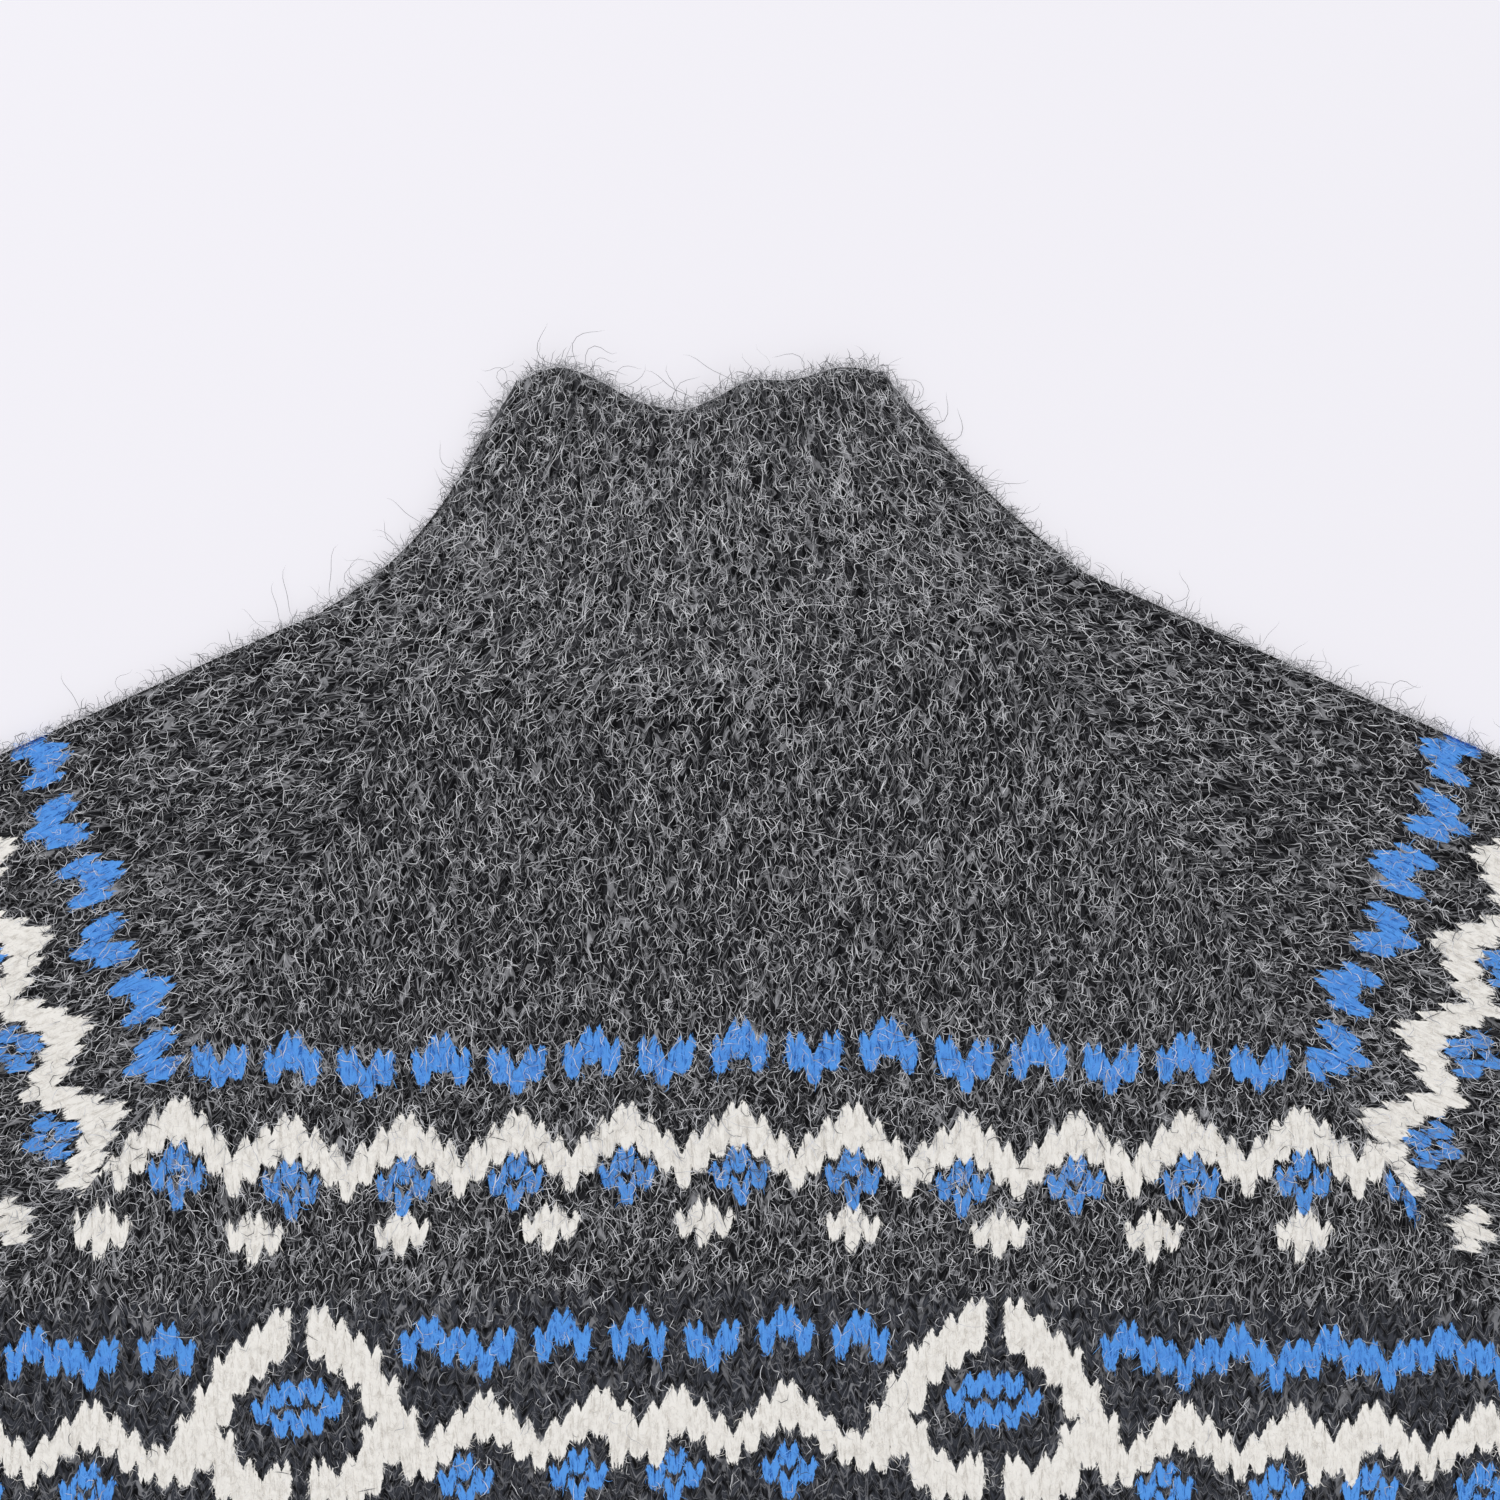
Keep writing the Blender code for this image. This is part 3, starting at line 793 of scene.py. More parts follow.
    def plant(self, side: Side, stitches: tuple, places: tuple, headings: tuple,
              colours: np.ndarray) -> None:
        """Make the lattice of one side, trim it to the solid and turn its edge in.

        Args:
            side: The side to cover.
            stitches: Arrays of u and v.
            places: Arrays of x, y and z, with NaN heights beside the solid.
            headings: Arrays of the wales' directions.
            colours: Array of yarn shares.
        """
        bm = self.bm
        u, v = stitches
        x, y, z = places
        rows, columns = u.shape[0] - 1, u.shape[1] - 1
        made = bmesh.ops.create_grid(bm, x_segments=columns, y_segments=rows, size=1.0)["verts"]
        reach = max(vertex.co.x for vertex in made)
        outside = np.isnan(z)
        level = np.where(outside, 0.0, z)
        lost = set()
        seam = np.max([line.lift(x, y) for line in BASE_SEAM], axis=0)
        near = self.nap_shares(x, y, side) * (1.0 - SEAM_BARE * seam)
        # The stitches' relief, less a painted shadow along the collar's base seam; the materials paint
        # shade where it is low.
        standing = self.relief(u, v) - SEAM_PAINTED_SHADOW * seam
        for vertex in made:
            column = round((vertex.co.x / reach + 1.0) * columns / 2)
            row = round((1.0 - vertex.co.y / reach) * rows / 2)
            if outside[row, column]:
                lost.add(vertex)
            vertex.co = (x[row, column], y[row, column], level[row, column])
            vertex[self.stitch] = (u[row, column], v[row, column], side.value)
            vertex[self.yarn] = colours[row, column]
            vertex[self.wale] = (headings[0][row, column], headings[1][row, column], 0.0)
            fuzz = near[row, column] * colours[row, column, 3]
            vertex[self.nap] = (fuzz, near[row, column], standing[row, column])
        faces = list(dict.fromkeys(face for vertex in made for face in vertex.link_faces))
        bare = [face for face in faces if sum(vertex in lost for vertex in face.verts) > 1]
        bmesh.ops.delete(bm, geom=bare, context="FACES")
        kept = [face for face in faces if face.is_valid]
        loose = [vertex for vertex in made if vertex.is_valid and not vertex.link_faces]
        bmesh.ops.delete(bm, geom=loose, context="VERTS")
        bm.normal_update()
        if sum(face.normal.z for face in kept) * side.value < 0:
            bmesh.ops.reverse_faces(bm, faces=kept)
        self.trim(kept, side)

    def nap_shares(self, x: np.ndarray, y: np.ndarray, side: Side) -> np.ndarray:
        """Return the share of the full nap, which is densest on the yoke."""
        away = np.maximum(np.abs(x - CLOSE_CENTRE[0]), np.abs(y - CLOSE_CENTRE[1])) - CLOSE_HALF
        fade = 1.0 - ease(away / CLOSE_FADE)
        if side is Side.UNDER:
            return np.full(x.shape, FAR_NAP)
        return self.top_nap * (FAR_NAP + (1.0 - FAR_NAP) * fade)

    def trim(self, faces: list, side: Side) -> None:
        """Bring the lattice's rim to the solid's outline and wrap it over the edge.

        Args:
            faces: The faces of this side.
            side: The side that they cover.
        """
        edges = [edge for edge in dict.fromkeys(edge for face in faces for edge in face.edges)
                 if edge.is_boundary]
        rim = list(dict.fromkeys(vertex for edge in edges for vertex in edge.verts))
        free: dict[bmesh.types.BMVert, bool] = {}
        targets = {vertex: self.rim_place(vertex, side) for vertex in rim}
        for vertex, (place, outward, height, is_seam) in targets.items():
            vertex.co = (place.x, place.y, height)
            if not is_seam:
                free[vertex] = True
                if side is Side.UPPER:
                    vertex[self.outward] = (outward.x, outward.y, 0.0)
        self.round_rim(edges, free)
        for edge in edges:
            edge.smooth = False
        reach = TUBE_WRAP if len(self.sides) == 2 else PANEL_WRAP
        wrapped = bmesh.ops.extrude_edge_only(self.bm, edges=edges)["geom"]
        for item in wrapped:
            if isinstance(item, bmesh.types.BMVert):
                low = item.co.z - side.value * reach
                item.co.z = max(low, UNDER_CLEAR) if side is Side.UPPER else low

    def rim_place(self, vertex: bmesh.types.BMVert,
                  side: Side) -> tuple[Vector, Vector, float, bool]:
        """Find where a rim vertex belongs.

        Args:
            vertex: The vertex.
            side: The side being covered.

        Returns:
            Its place in plan, the way out of the piece, its height, and whether it is on a seam.
        """
        middle = Vector((0.0, 0.0, 0.0))
        for face in vertex.link_faces:
            middle += face.calc_center_median() / len(vertex.link_faces)
        place = self.form.outline_from(middle, vertex.co)
        outward = (place - middle.to_2d()).normalized()
        inside = place - outward * OUTLINE_INSET
        level = self.form.height(*inside, side)
        if math.isnan(level):
            level = vertex.co.z
        probe = Vector((place.x, place.y, level - side.value * PROBE_DEPTH))
        is_seam = self.neighbours.tree.find_nearest(probe, SEAM_REACH)[0] is not None
        if is_seam:
            place = place + outward * SEAM_LAP
        drop = 0.0 if is_seam else RIM_DROP
        if side is Side.UNDER:
            return place, outward, level + UNDER_CLEAR + drop, is_seam
        lift = sum(float(crease.lift(np.array(place.x), np.array(place.y)))
                   for crease in CREASES)
        return place, outward, level + lift - drop, is_seam

    def round_rim(self, edges: list, free: dict) -> None:
        """Round the free edge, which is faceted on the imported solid.

        Args:
            edges: The rim's edges.
            free: The rim's vertices that touch no neighbour.
        """
        beside: dict[bmesh.types.BMVert, list] = {vertex: [] for vertex in free}
        for edge in edges:
            for vertex in edge.verts:
                if vertex in beside:
                    beside[vertex].append(edge.other_vert(vertex))
        inner = dict.fromkeys(edge.other_vert(vertex) for vertex in free
                              for edge in vertex.link_edges)
        inner = [vertex for vertex in inner if not vertex.is_boundary]
        for _ in range(self.rounding):
            moved = {}
            for vertex, near in beside.items():
                if len(near) == 2 and near[0] in free and near[1] in free:
                    moved[vertex] = vertex.co.lerp((near[0].co + near[1].co) / 2, RIM_PULL)
            for vertex, place in moved.items():
                vertex.co = place
        bmesh.ops.smooth_vert(self.bm, verts=inner, factor=INNER_PULL, use_axis_x=True,
                              use_axis_y=True, use_axis_z=False)

    def map_stitches(self, mesh: bpy.types.Mesh) -> None:
        """Give the mesh a UV map in metres along the stitches, and drop the helper layer."""
        gauge = self.wales.gauge
        stitch = read_all(mesh.attributes["stitch"].data, "vector", 3)
        shift = UNDER_MAP_SHIFT * (stitch[:, 2] < 0)
        write_map(mesh, "knit", np.column_stack([stitch[:, 0] * gauge.across + shift,
                                                 -stitch[:, 1] * gauge.along]))
        mesh.attributes.remove(mesh.attributes["stitch"])


# ---- node trees -----------------------------------------------------------------------------------
class Tree:
    """A short way to write a node tree."""

    def __init__(self, tree: bpy.types.NodeTree) -> None:
        """Keep the tree.

        Args:
            tree: The node tree to write.
        """
        self.tree = tree

    def node(self, kind: str, inputs: dict | None = None, **values: object) -> bpy.types.Node:
        """Add a node.

        Args:
            kind: Its type.
            inputs: What goes into its sockets, by name or number.
            values: Its properties, which are set first.

        Returns:
            The node.
        """
        made = self.tree.nodes.new(kind)
        for key, value in values.items():
            setattr(made, key, value)
        for key, value in (inputs or {}).items():
            self.put(made.inputs[key], value)
        return made

    def put(self, target: bpy.types.NodeSocket, value: object) -> None:
        """Wire a socket, or set it where the value isn't a socket."""
        if isinstance(value, bpy.types.NodeSocket):
            self.tree.links.new(value, target)
        else:
            target.default_value = value

    def math(self, operation: str, first: object, second: object,
             clamp: bool = False) -> bpy.types.NodeSocket:
        """Add a Math node and return its result."""
        return self.node("ShaderNodeMath", {0: first, 1: second}, operation=operation,
                         use_clamp=clamp).outputs[0]

    def times(self, first: object, *others: object) -> bpy.types.NodeSocket:
        """Return the product of two or more values."""
        for other in others:
            first = self.math("MULTIPLY", first, other)
        return first

    def split(self, vector: bpy.types.NodeSocket) -> bpy.types.NodeOutputs:
        """Return a vector's X, Y and Z."""
        return self.node("ShaderNodeSeparateXYZ", {0: vector}).outputs


class Shader(Tree):
    """A material with one Principled shader."""

    def __init__(self, name: str) -> None:
        """Start the material.

        Args:
            name: Its name.
        """
        self.material = bpy.data.materials.new(name)
        self.material.use_nodes = True
        super().__init__(self.material.node_tree)
        self.tree.nodes.clear()
        self.surface = self.node("ShaderNodeBsdfPrincipled")
        self.node("ShaderNodeOutputMaterial", {"Surface": self.surface.outputs["BSDF"]})

    def coat(self, inputs: dict[str, object]) -> bpy.types.Material:
        """Fill in the Principled shader's sockets, by name, and return the material."""
        for key, value in inputs.items():
            self.put(self.surface.inputs[key], value)
        return self.material

    def own_place(self) -> bpy.types.NodeSocket:
        """Return Object coordinates."""
        return self.node("ShaderNodeTexCoord").outputs["Object"]

    def ramp(self, value: object, low: float, high: float, start: float = 0.0,
             end: float = 1.0) -> bpy.types.NodeSocket:
        """Map low..high to start..end with eased ends."""
        return self.node("ShaderNodeMapRange", {
            "Value": value, "From Min": low, "From Max": high, "To Min": start, "To Max": end,
        }, interpolation_type="SMOOTHSTEP").outputs["Result"]

    def mix(self, share: object, *colours: object) -> bpy.types.NodeSocket:
        """Mix two colours, each a socket or a triple of linear RGB."""
        first, second = ((*colour, 1.0) if isinstance(colour, tuple) else colour
                         for colour in colours)
        return self.node("ShaderNodeMix", {"Factor": share, 6: first, 7: second},
                         data_type="RGBA").outputs[2]

    def noise(self, vector: object, scale: float, detail: float = 1.0, rough: float = 0.5,
              twist: float = 0.0, flat: bool = False) -> bpy.types.NodeSocket:
        """Add a noise texture and return its value."""
        return self.node("ShaderNodeTexNoise", {
            "Vector": vector, "Scale": scale, "Detail": detail, "Roughness": rough,
            "Distortion": twist,
        }, noise_dimensions="2D" if flat else "3D").outputs[0]

    def bump(self, height: object, strength: float, distance: float) -> bpy.types.NodeSocket:
        """Return normals that follow a height."""
        return self.node("ShaderNodeBump", {
            "Height": height, "Strength": strength, "Distance": distance}).outputs["Normal"]

    def fibres(self, vector: object, angle: float, spacing: float, length: float,
               width: float, seed: float) -> bpy.types.NodeSocket:
        """Return thin curly lines, which run within some degrees of an angle.

        Args:
            vector: Flat coordinates in metres.
            angle: Degrees between the lines and the wales.
            spacing: Metres between lines.
            length: Metres over which a line holds its way.
            width: Half width of a line, as a share of the spacing.
            seed: Shifts the pattern.

        Returns:
            A value of 1 on a line and 0 between lines.
        """
        turned = self.node("ShaderNodeMapping", {
            "Vector": vector, "Location": (seed, seed * 0.7, 0.0),
            "Rotation": (0.0, 0.0, math.radians(angle)), "Scale": (spacing, length, 1.0),
        }, vector_type="TEXTURE")
        field = self.noise(turned.outputs["Vector"], 1.0, 1.0, 0.45, 0.4, flat=True)
        off = self.math("ABSOLUTE", self.math("SUBTRACT", field, 0.5), 0.0)
        return self.ramp(off, width * 0.55, width * 1.25, 1.0, 0.0)


# ---- materials --------------------------------------------------------------------------------------
RGB = tuple[float, float, float]
# Fibres drawn on a knit, in layers.
# Columns: degrees off the wales, spacing, length, half width, brightness.
FIBRE_LAYERS = (
    (6.0, 0.0048, 0.0140, 0.0100, 1.00),
    (-33.0, 0.0050, 0.0125, 0.0095, 0.95),
    (40.0, 0.0049, 0.0120, 0.0095, 0.85),
    (-74.0, 0.0054, 0.0110, 0.0090, 0.75),
    (-8.0, 0.0030, 0.0080, 0.0110, 0.40),
)


@dataclass(frozen=True)
class WoolFinish:
    """Brushed wool: a dark ground under a net of pale fibres, with cream and blue yarn.

    Attributes:
        name: The material's name.
        groove_shade: Colour of the gaps between the stitches.
        ground: Colour of the yarn.
        haze: Colour of the brightest fibres.
        smooth_wool: Colour that the ground tends to where the nap is thin.
        rim: Colour of the brushed cloth where it turns down at its edges.
        cream: Colour of the cream yarn in the light.
        cream_shade: The same between its strands.
        blue: Colour of the blue yarn in the light.
        blue_shade: The same between its strands.
        patterned: Whether cream and blue are read from the mesh.
    """

    name: str
    groove_shade: RGB = (0.0030, 0.0030, 0.0036)
    ground: RGB = (0.0185, 0.0185, 0.0210)
    haze: RGB = (0.340, 0.338, 0.352)
    smooth_wool: RGB = (0.052, 0.056, 0.070)
    rim: RGB = (0.098, 0.098, 0.104)
    cream: RGB = (0.900, 0.865, 0.810)
    cream_shade: RGB = (0.660, 0.620, 0.565)
    blue: RGB = (0.105, 0.335, 0.810)
    blue_shade: RGB = (0.022, 0.105, 0.380)
    patterned: bool = True

    def make(self) -> bpy.types.Material:
        """Write the material.

        Returns:
            The material, which reads the mesh's stitch map and its yarn and nap attributes.
        """
        shader = Shader(self.name)
        place = shader.node("ShaderNodeUVMap", uv_map="knit").outputs["UV"]
        yarn = shader.node("ShaderNodeAttribute", attribute_name="yarn").outputs
        nap = shader.node("ShaderNodeAttribute", attribute_name="nap").outputs
        standing = shader.split(nap["Vector"])["Z"]
        patch = shader.noise(place, 75.0, 2.0, flat=True)
        tuft = shader.noise(place, 1100.0, 2.0, 0.6, flat=True)
        clump = shader.noise(place, 330.0, 2.0, 0.6, flat=True)
        network = self.network(shader, place)
        smooth = shader.ramp(yarn["Alpha"], SMOOTH_NAP, 1.0, 1.0, 0.0)
        level = shader.times(network, shader.ramp(patch, 0.30, 0.70, 0.55, 1.0),
                             shader.ramp(clump, 0.30, 0.60, 0.40, 1.0),
                             shader.ramp(smooth, 0.0, 1.0, 1.0, 0.60))
        # Painted shade: the ground darkens where the stitches' relief is low and along the collar's
        # base seam, unevenly with random clumps of the yarn.
        raised = shader.math("ADD", shader.times(standing, 0.22), clump)
        ground = shader.mix(shader.ramp(raised, 0.28, 0.78), self.groove_shade, self.ground)
        even = shader.times(smooth, shader.ramp(clump, 0.30, 0.72, 0.0, 0.72))
        ground = shader.mix(even, ground, self.smooth_wool)
        colour = shader.mix(level, ground, self.haze)
        # Painted light: where the faces turn sideways at the free edges, the colour is lightened
        # towards the rim colour, lifting their shade.
        facing = shader.split(shader.node("ShaderNodeNewGeometry").outputs["Normal"])["Z"]
        turned = shader.times(shader.ramp(facing, 0.30, 0.85, 0.9, 0.0),
                              shader.ramp(smooth, 0.0, 1.0, 1.0, 0.0))
        colour = shader.mix(turned, colour, self.rim)
        if self.patterned:
            strand = shader.fibres(place, 3.0, 0.0011, 0.0055, 0.16, 11.3)
            colour = self.paint_yarns(shader, yarn["Color"], colour, network,
                                      (strand, tuft, standing))
        return shader.coat({
            "Base Color": colour, "Roughness": shader.ramp(tuft, 0.2, 0.8, 0.82, 1.0),
            "Specular IOR Level": 0.06, "Sheen Weight": 0.02, "Sheen Roughness": 0.60,
            "Normal": shader.bump(tuft, 0.5, 0.0005),
        })

    def network(self, shader: Shader, place: bpy.types.NodeSocket) -> bpy.types.NodeSocket:
        """Lay the fibre layers over one another."""
        total: object = 0.0
        for index, (angle, spacing, length, width, bright) in enumerate(FIBRE_LAYERS):
            line = shader.times(
                shader.fibres(place, angle, spacing, length, width, 1.7 * index + 0.3), bright)
            total = line if index == 0 else shader.math("MAXIMUM", total, line)
        return total

    def paint_yarns(self, shader: Shader, yarn: bpy.types.NodeSocket,
                    charcoal: bpy.types.NodeSocket, network: bpy.types.NodeSocket,
                    grain: tuple) -> bpy.types.NodeSocket:
        """Colour the cream and blue stitches, whose edges break up into fibres.

        Args:
            shader: The material's tree.
            yarn: The mesh's yarn shares.
            charcoal: The colour of the charcoal wool.
            network: The fibre network.
            grain: The yarn's strands, fine noise and the relief of the stitches.

        Returns:
            The colour with its pattern.
        """
        strand, tuft, standing = grain
        parts = shader.node("ShaderNodeSeparateColor", {"Color": yarn}).outputs

        def sum_of(strands: float, noise: float) -> bpy.types.NodeSocket:
            """Return a mixture of the strands and the noise."""
            return shader.math("ADD", shader.times(strand, strands), shader.times(tuft, noise))

        ragged = shader.math("SUBTRACT", sum_of(0.16, 0.44), 0.27)
        leaf = shader.math("ADD", ragged, shader.times(standing, 0.22))
        # Painted light and shade: the cream and blue yarn take their lit colour on the strands and
        # raised stitches, and their shaded colour between them and along the seam's painted shadow.
        yarn_lit_share = shader.math("ADD", sum_of(0.45, 0.75), shader.times(standing, 0.24))
        yarn_lit_share = shader.ramp(yarn_lit_share, 0.08, 0.84)
        colour = charcoal
        for channel, start, light, dark in ((0, 0.33, self.cream, self.cream_shade),
                                            (1, 0.35, self.blue, self.blue_shade)):
            edge = shader.ramp(shader.math("ADD", parts[channel], leaf), start, start + 0.15)
            colour = shader.mix(edge, colour, shader.mix(yarn_lit_share, dark, light))
        veil = shader.times(parts[2], shader.ramp(network, 0.1, 0.7, 0.05, 0.75))
        return shader.mix(veil, colour, charcoal)


@dataclass(frozen=True)
class WrongSideFinish:
    """The purl side of the cloth: charcoal wool with low bars across."""

    name: str = "charcoal_wrong_side"
    ground: RGB = (0.016, 0.016, 0.018)
    haze: RGB = (0.150, 0.150, 0.160)

    def make(self) -> bpy.types.Material:
        """Write the material on Object coordinates."""
        shader = Shader(self.name)
        place = shader.own_place()
        bars = shader.node("ShaderNodeTexWave", {
            "Vector": place, "Scale": 61.0, "Distortion": 1.6, "Detail": 1.0,
        }, wave_type="BANDS", bands_direction="Y").outputs["Fac"]
        lines = shader.math("MAXIMUM", shader.fibres(place, 22.0, 0.0024, 0.0070, 0.08, 0.4),
                            shader.fibres(place, -48.0, 0.0026, 0.0070, 0.07, 2.9))
        level = shader.math("ADD", shader.times(lines, 0.7), shader.times(bars, 0.2), clamp=True)
        return shader.coat({
            "Base Color": shader.mix(level, self.ground, self.haze), "Roughness": 0.95,
            "Specular IOR Level": 0.15, "Normal": shader.bump(bars, 0.7, 0.0008),
        })


@dataclass(frozen=True)
class FibreFinish:
    """Loose wool fibres of one shade, lighter and darker from place to place."""

    name: str
    dark: RGB
    light: RGB

    def make(self) -> bpy.types.Material:
        """Write the material on Object coordinates."""
        shader = Shader(self.name)
        tone = shader.ramp(shader.noise(shader.own_place(), 260.0, 1.0), 0.30, 0.70)
        return shader.coat({"Base Color": shader.mix(tone, self.dark, self.light),
                            "Roughness": 0.75, "Specular IOR Level": 0.25})


@dataclass(frozen=True)
class TableFinish:
    """A plain pale table, with a trace of unevenness, that glows: painted light that washes out the
    shadow of the cloth on it.
    """

    name: str = "pale_table"
    colour: RGB = (0.362, 0.354, 0.373)
    uneven: float = 0.985
    # Painted light: the table glows, which washes out the shadow that the cloth casts on it.
    glow: float = 1.45

    def make(self) -> bpy.types.Material:
        """Write the material on Object coordinates."""
        shader = Shader(self.name)
        shade = tuple(channel * self.uneven for channel in self.colour)
        tone = shader.noise(shader.own_place(), 6.0, 2.0)
        return shader.coat({
            "Base Color": shader.mix(tone, shade, self.colour), "Roughness": 0.85,
            "Emission Color": (*self.colour, 1.0), "Emission Strength": self.glow,
            "Specular IOR Level": 0.1,
        })


# ---- the wrong side ------------------------------------------------------------------------------
@dataclass
class WrongSide:
    """The inner face of a piece's cloth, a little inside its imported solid."""

    node: str

    def build(self, finish: bpy.types.Material) -> bpy.types.Object:
        """Copy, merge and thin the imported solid.

        Args:
            finish: The purl side's material.

        Returns:
            The wrong side's object.
        """
        bm = bmesh.new()
        bm.from_mesh(frame["nodes"][self.node].data)
        bmesh.ops.remove_doubles(bm, verts=bm.verts[:], dist=MERGE_REACH)
        bm.normal_update()
        for vertex in bm.verts:
            vertex.co -= vertex.normal * SHRINK
        mesh = finished(bm, f"{self.node}_wrong_side", smooth=True)
        mesh.materials.clear()
        mesh.materials.append(finish)
        mesh.set_sharp_from_angle(angle=math.radians(SHARP_ANGLE))
        return add_object(mesh.name, mesh)


# ---- nap -----------------------------------------------------------------------------------------
class Shade(Enum):
    """The shades of loose fibre, each with its dark and light ends."""

    PALE = ("fibre_pale", (0.340, 0.338, 0.352), (0.740, 0.735, 0.752))
    MID = ("fibre_mid", (0.080, 0.080, 0.087), (0.200, 0.200, 0.212))
    DARK = ("fibre_dark", (0.030, 0.030, 0.034), (0.090, 0.090, 0.098))
    CREAM = ("fibre_cream", (0.700, 0.665, 0.615), (0.900, 0.870, 0.830))
    BLUE = ("fibre_blue", (0.060, 0.230, 0.650), (0.190, 0.460, 0.920))


class Ground(Enum):
    """The stitches that a nap layer is rooted in."""

    CHARCOAL = "charcoal"
    CREAM = "cream"
    BLUE = "blue"
    EDGE = "edge"


class Strand(Enum):
    """The stocks of fibres, each with its segments and its width as a share of its length."""

    SHORT = (3, 0.042)
    CURLY = (4, 0.037)
    FRINGE = (4, 0.028)
    LONG = (9, 0.0080)


@dataclass(frozen=True)
class NapLayer:
    """One population of fibres.

    Attributes:
        shade: Their shade.
        ground: The stitches that they grow from.
        strand: Their stock.
        density: Fibres a square metre where the nap is full.
        shortest: Shortest fibre.
        longest: Longest fibre.
        spread: Degrees that a fibre may turn off its way, to either side.
        lift: Degrees that the fibres may rise.
    """

    shade: Shade
    ground: Ground
    strand: Strand
    density: float
    shortest: float
    longest: float
    spread: float
    lift: float


NAP_LAYERS = (
    NapLayer(Shade.PALE, Ground.CHARCOAL, Strand.CURLY, 78_000, 0.0045, 0.0090, 42.0, 15.0),
    NapLayer(Shade.PALE, Ground.CHARCOAL, Strand.CURLY, 54_000, 0.0040, 0.0080, 180.0, 18.0),
    NapLayer(Shade.DARK, Ground.CHARCOAL, Strand.SHORT, 60_000, 0.0035, 0.0080, 90.0, 24.0),
    NapLayer(Shade.PALE, Ground.CHARCOAL, Strand.LONG, 4_500, 0.0120, 0.0260, 180.0, 6.0),
    NapLayer(Shade.DARK, Ground.EDGE, Strand.SHORT, 200_000, 0.0018, 0.0042, 80.0, 10.0),
    NapLayer(Shade.MID, Ground.EDGE, Strand.SHORT, 500_000, 0.0018, 0.0040, 180.0, 14.0),
    NapLayer(Shade.PALE, Ground.EDGE, Strand.SHORT, 850_000, 0.0020, 0.0046, 180.0, 16.0),
    NapLayer(Shade.MID, Ground.EDGE, Strand.FRINGE, 560_000, 0.0030, 0.0085, 72.0, 6.0),
    NapLayer(Shade.PALE, Ground.EDGE, Strand.FRINGE, 300_000, 0.0030, 0.0065, 80.0, 8.0),
    NapLayer(Shade.MID, Ground.EDGE, Strand.LONG, 48_000, 0.0090, 0.0240, 70.0, 3.0),
)
YARN_LAYERS = (
    NapLayer(Shade.CREAM, Ground.CREAM, Strand.SHORT, 560_000, 0.0024, 0.0058, 80.0, 16.0),
    NapLayer(Shade.BLUE, Ground.BLUE, Strand.SHORT, 480_000, 0.0024, 0.0060, 70.0, 16.0),
    NapLayer(Shade.PALE, Ground.BLUE, Strand.CURLY, 60_000, 0.0035, 0.0070, 60.0, 20.0),
)

# Bends of the fibres.  Columns: degrees turned from end to end, degrees of S-bend, rise.
FIBRE_BENDS = (
    (70.0, 25.0, 0.05),
    (-80.0, 30.0, 0.07),
    (125.0, -35.0, 0.04),
    (-110.0, -30.0, 0.06),
    (25.0, 70.0, 0.08),
    (-20.0, -65.0, 0.05),
    (165.0, 20.0, 0.06),
    (-150.0, 40.0, 0.05),
)
LAYER_STRIDE = 1_000_000     # keeps the fibre numbers of two layers apart
SEED_STRIDE = 31             # between the seeds of two layers
LOWEST_RISE = -0.02          # radians that a fibre rises at least, off the free edges
ROLL = 0.5                   # radians that a fibre may roll, to either side
VEIL_HAIR = 0.4              # share of the charcoal hairs that stand on veiled stitches
TAPER = (0.12, 0.80)         # the part of a half turn that a fibre's taper follows
PATCH_INSET = 0.1            # margin round a fibre in its square of the bake map
PATCH_REACH = 0.8            # the part of the square that it covers
DRAWS = ("FLOAT_VECTOR", "FLOAT", "INT")  # in the order of the Random Value node's sockets


class Fibre:
    """One bent fibre of unit length along +X: a flat ribbon that tapers to both ends."""

    def __init__(self, strand: Strand, turn: float, bend: float, rise: float) -> None:
        """Keep the fibre's shape.

        Args:
            strand: Its stock.
            turn: Degrees that it turns from end to end.
            bend: Degrees of its S-bend.
            rise: Height of its arc, as a share of its length.
        """
        self.segments, self.width = strand.value
        self.turn, self.bend, self.rise = math.radians(turn), math.radians(bend), rise

    def path(self) -> list[Vector]:
        """Return the middle line, which starts level with +X on average."""
        place, line = Vector((0.0, 0.0, 0.0)), [Vector((0.0, 0.0, 0.0))]
        for index in range(self.segments):
            share = (index + 0.5) / self.segments
            way = self.turn * (share - 0.5) + self.bend * math.sin(2 * math.pi * share)
            place = place + Vector((math.cos(way), math.sin(way), 0.0)) / self.segments
            end = (index + 1) / self.segments
            line.append(place + Vector((0.0, 0.0, self.rise * math.sin(math.pi * end))))
        return line

    def mesh(self, name: str) -> bpy.types.Mesh:
        """Make the fibre's mesh.

        Args:
            name: The mesh's name.

        Returns:
            A ribbon with a local map of its length and sides.
        """
        bm = bmesh.new()
        bmesh.ops.create_grid(bm, x_segments=self.segments, y_segments=1, size=1.0)
        local = bm.verts.layers.float_vector.new("local")
        reach = max(vertex.co.x for vertex in bm.verts)
        line = self.path()
        ends: dict[int, list] = {0: [], self.segments: []}
        for vertex in bm.verts:
            step = round((vertex.co.x / reach + 1.0) / 2 * self.segments)
            edge = math.copysign(0.5, vertex.co.y)
            share = step / self.segments
            taper = math.sin(math.pi * (TAPER[0] + TAPER[1] * share)) if step not in ends else 0.0
            way = (line[min(step + 1, self.segments)] - line[max(step - 1, 0)]).normalized()
            across = Vector((-way.y, way.x, 0.0))
            vertex[local] = (share, edge + 0.5, 0.0)
            vertex.co = line[step] + across * edge * self.width * taper
            if step in ends:
                ends[step].append(vertex)
        for verts in ends.values():
            bmesh.ops.pointmerge(bm, verts=verts, merge_co=verts[0].co)
        return finished(bm, name)


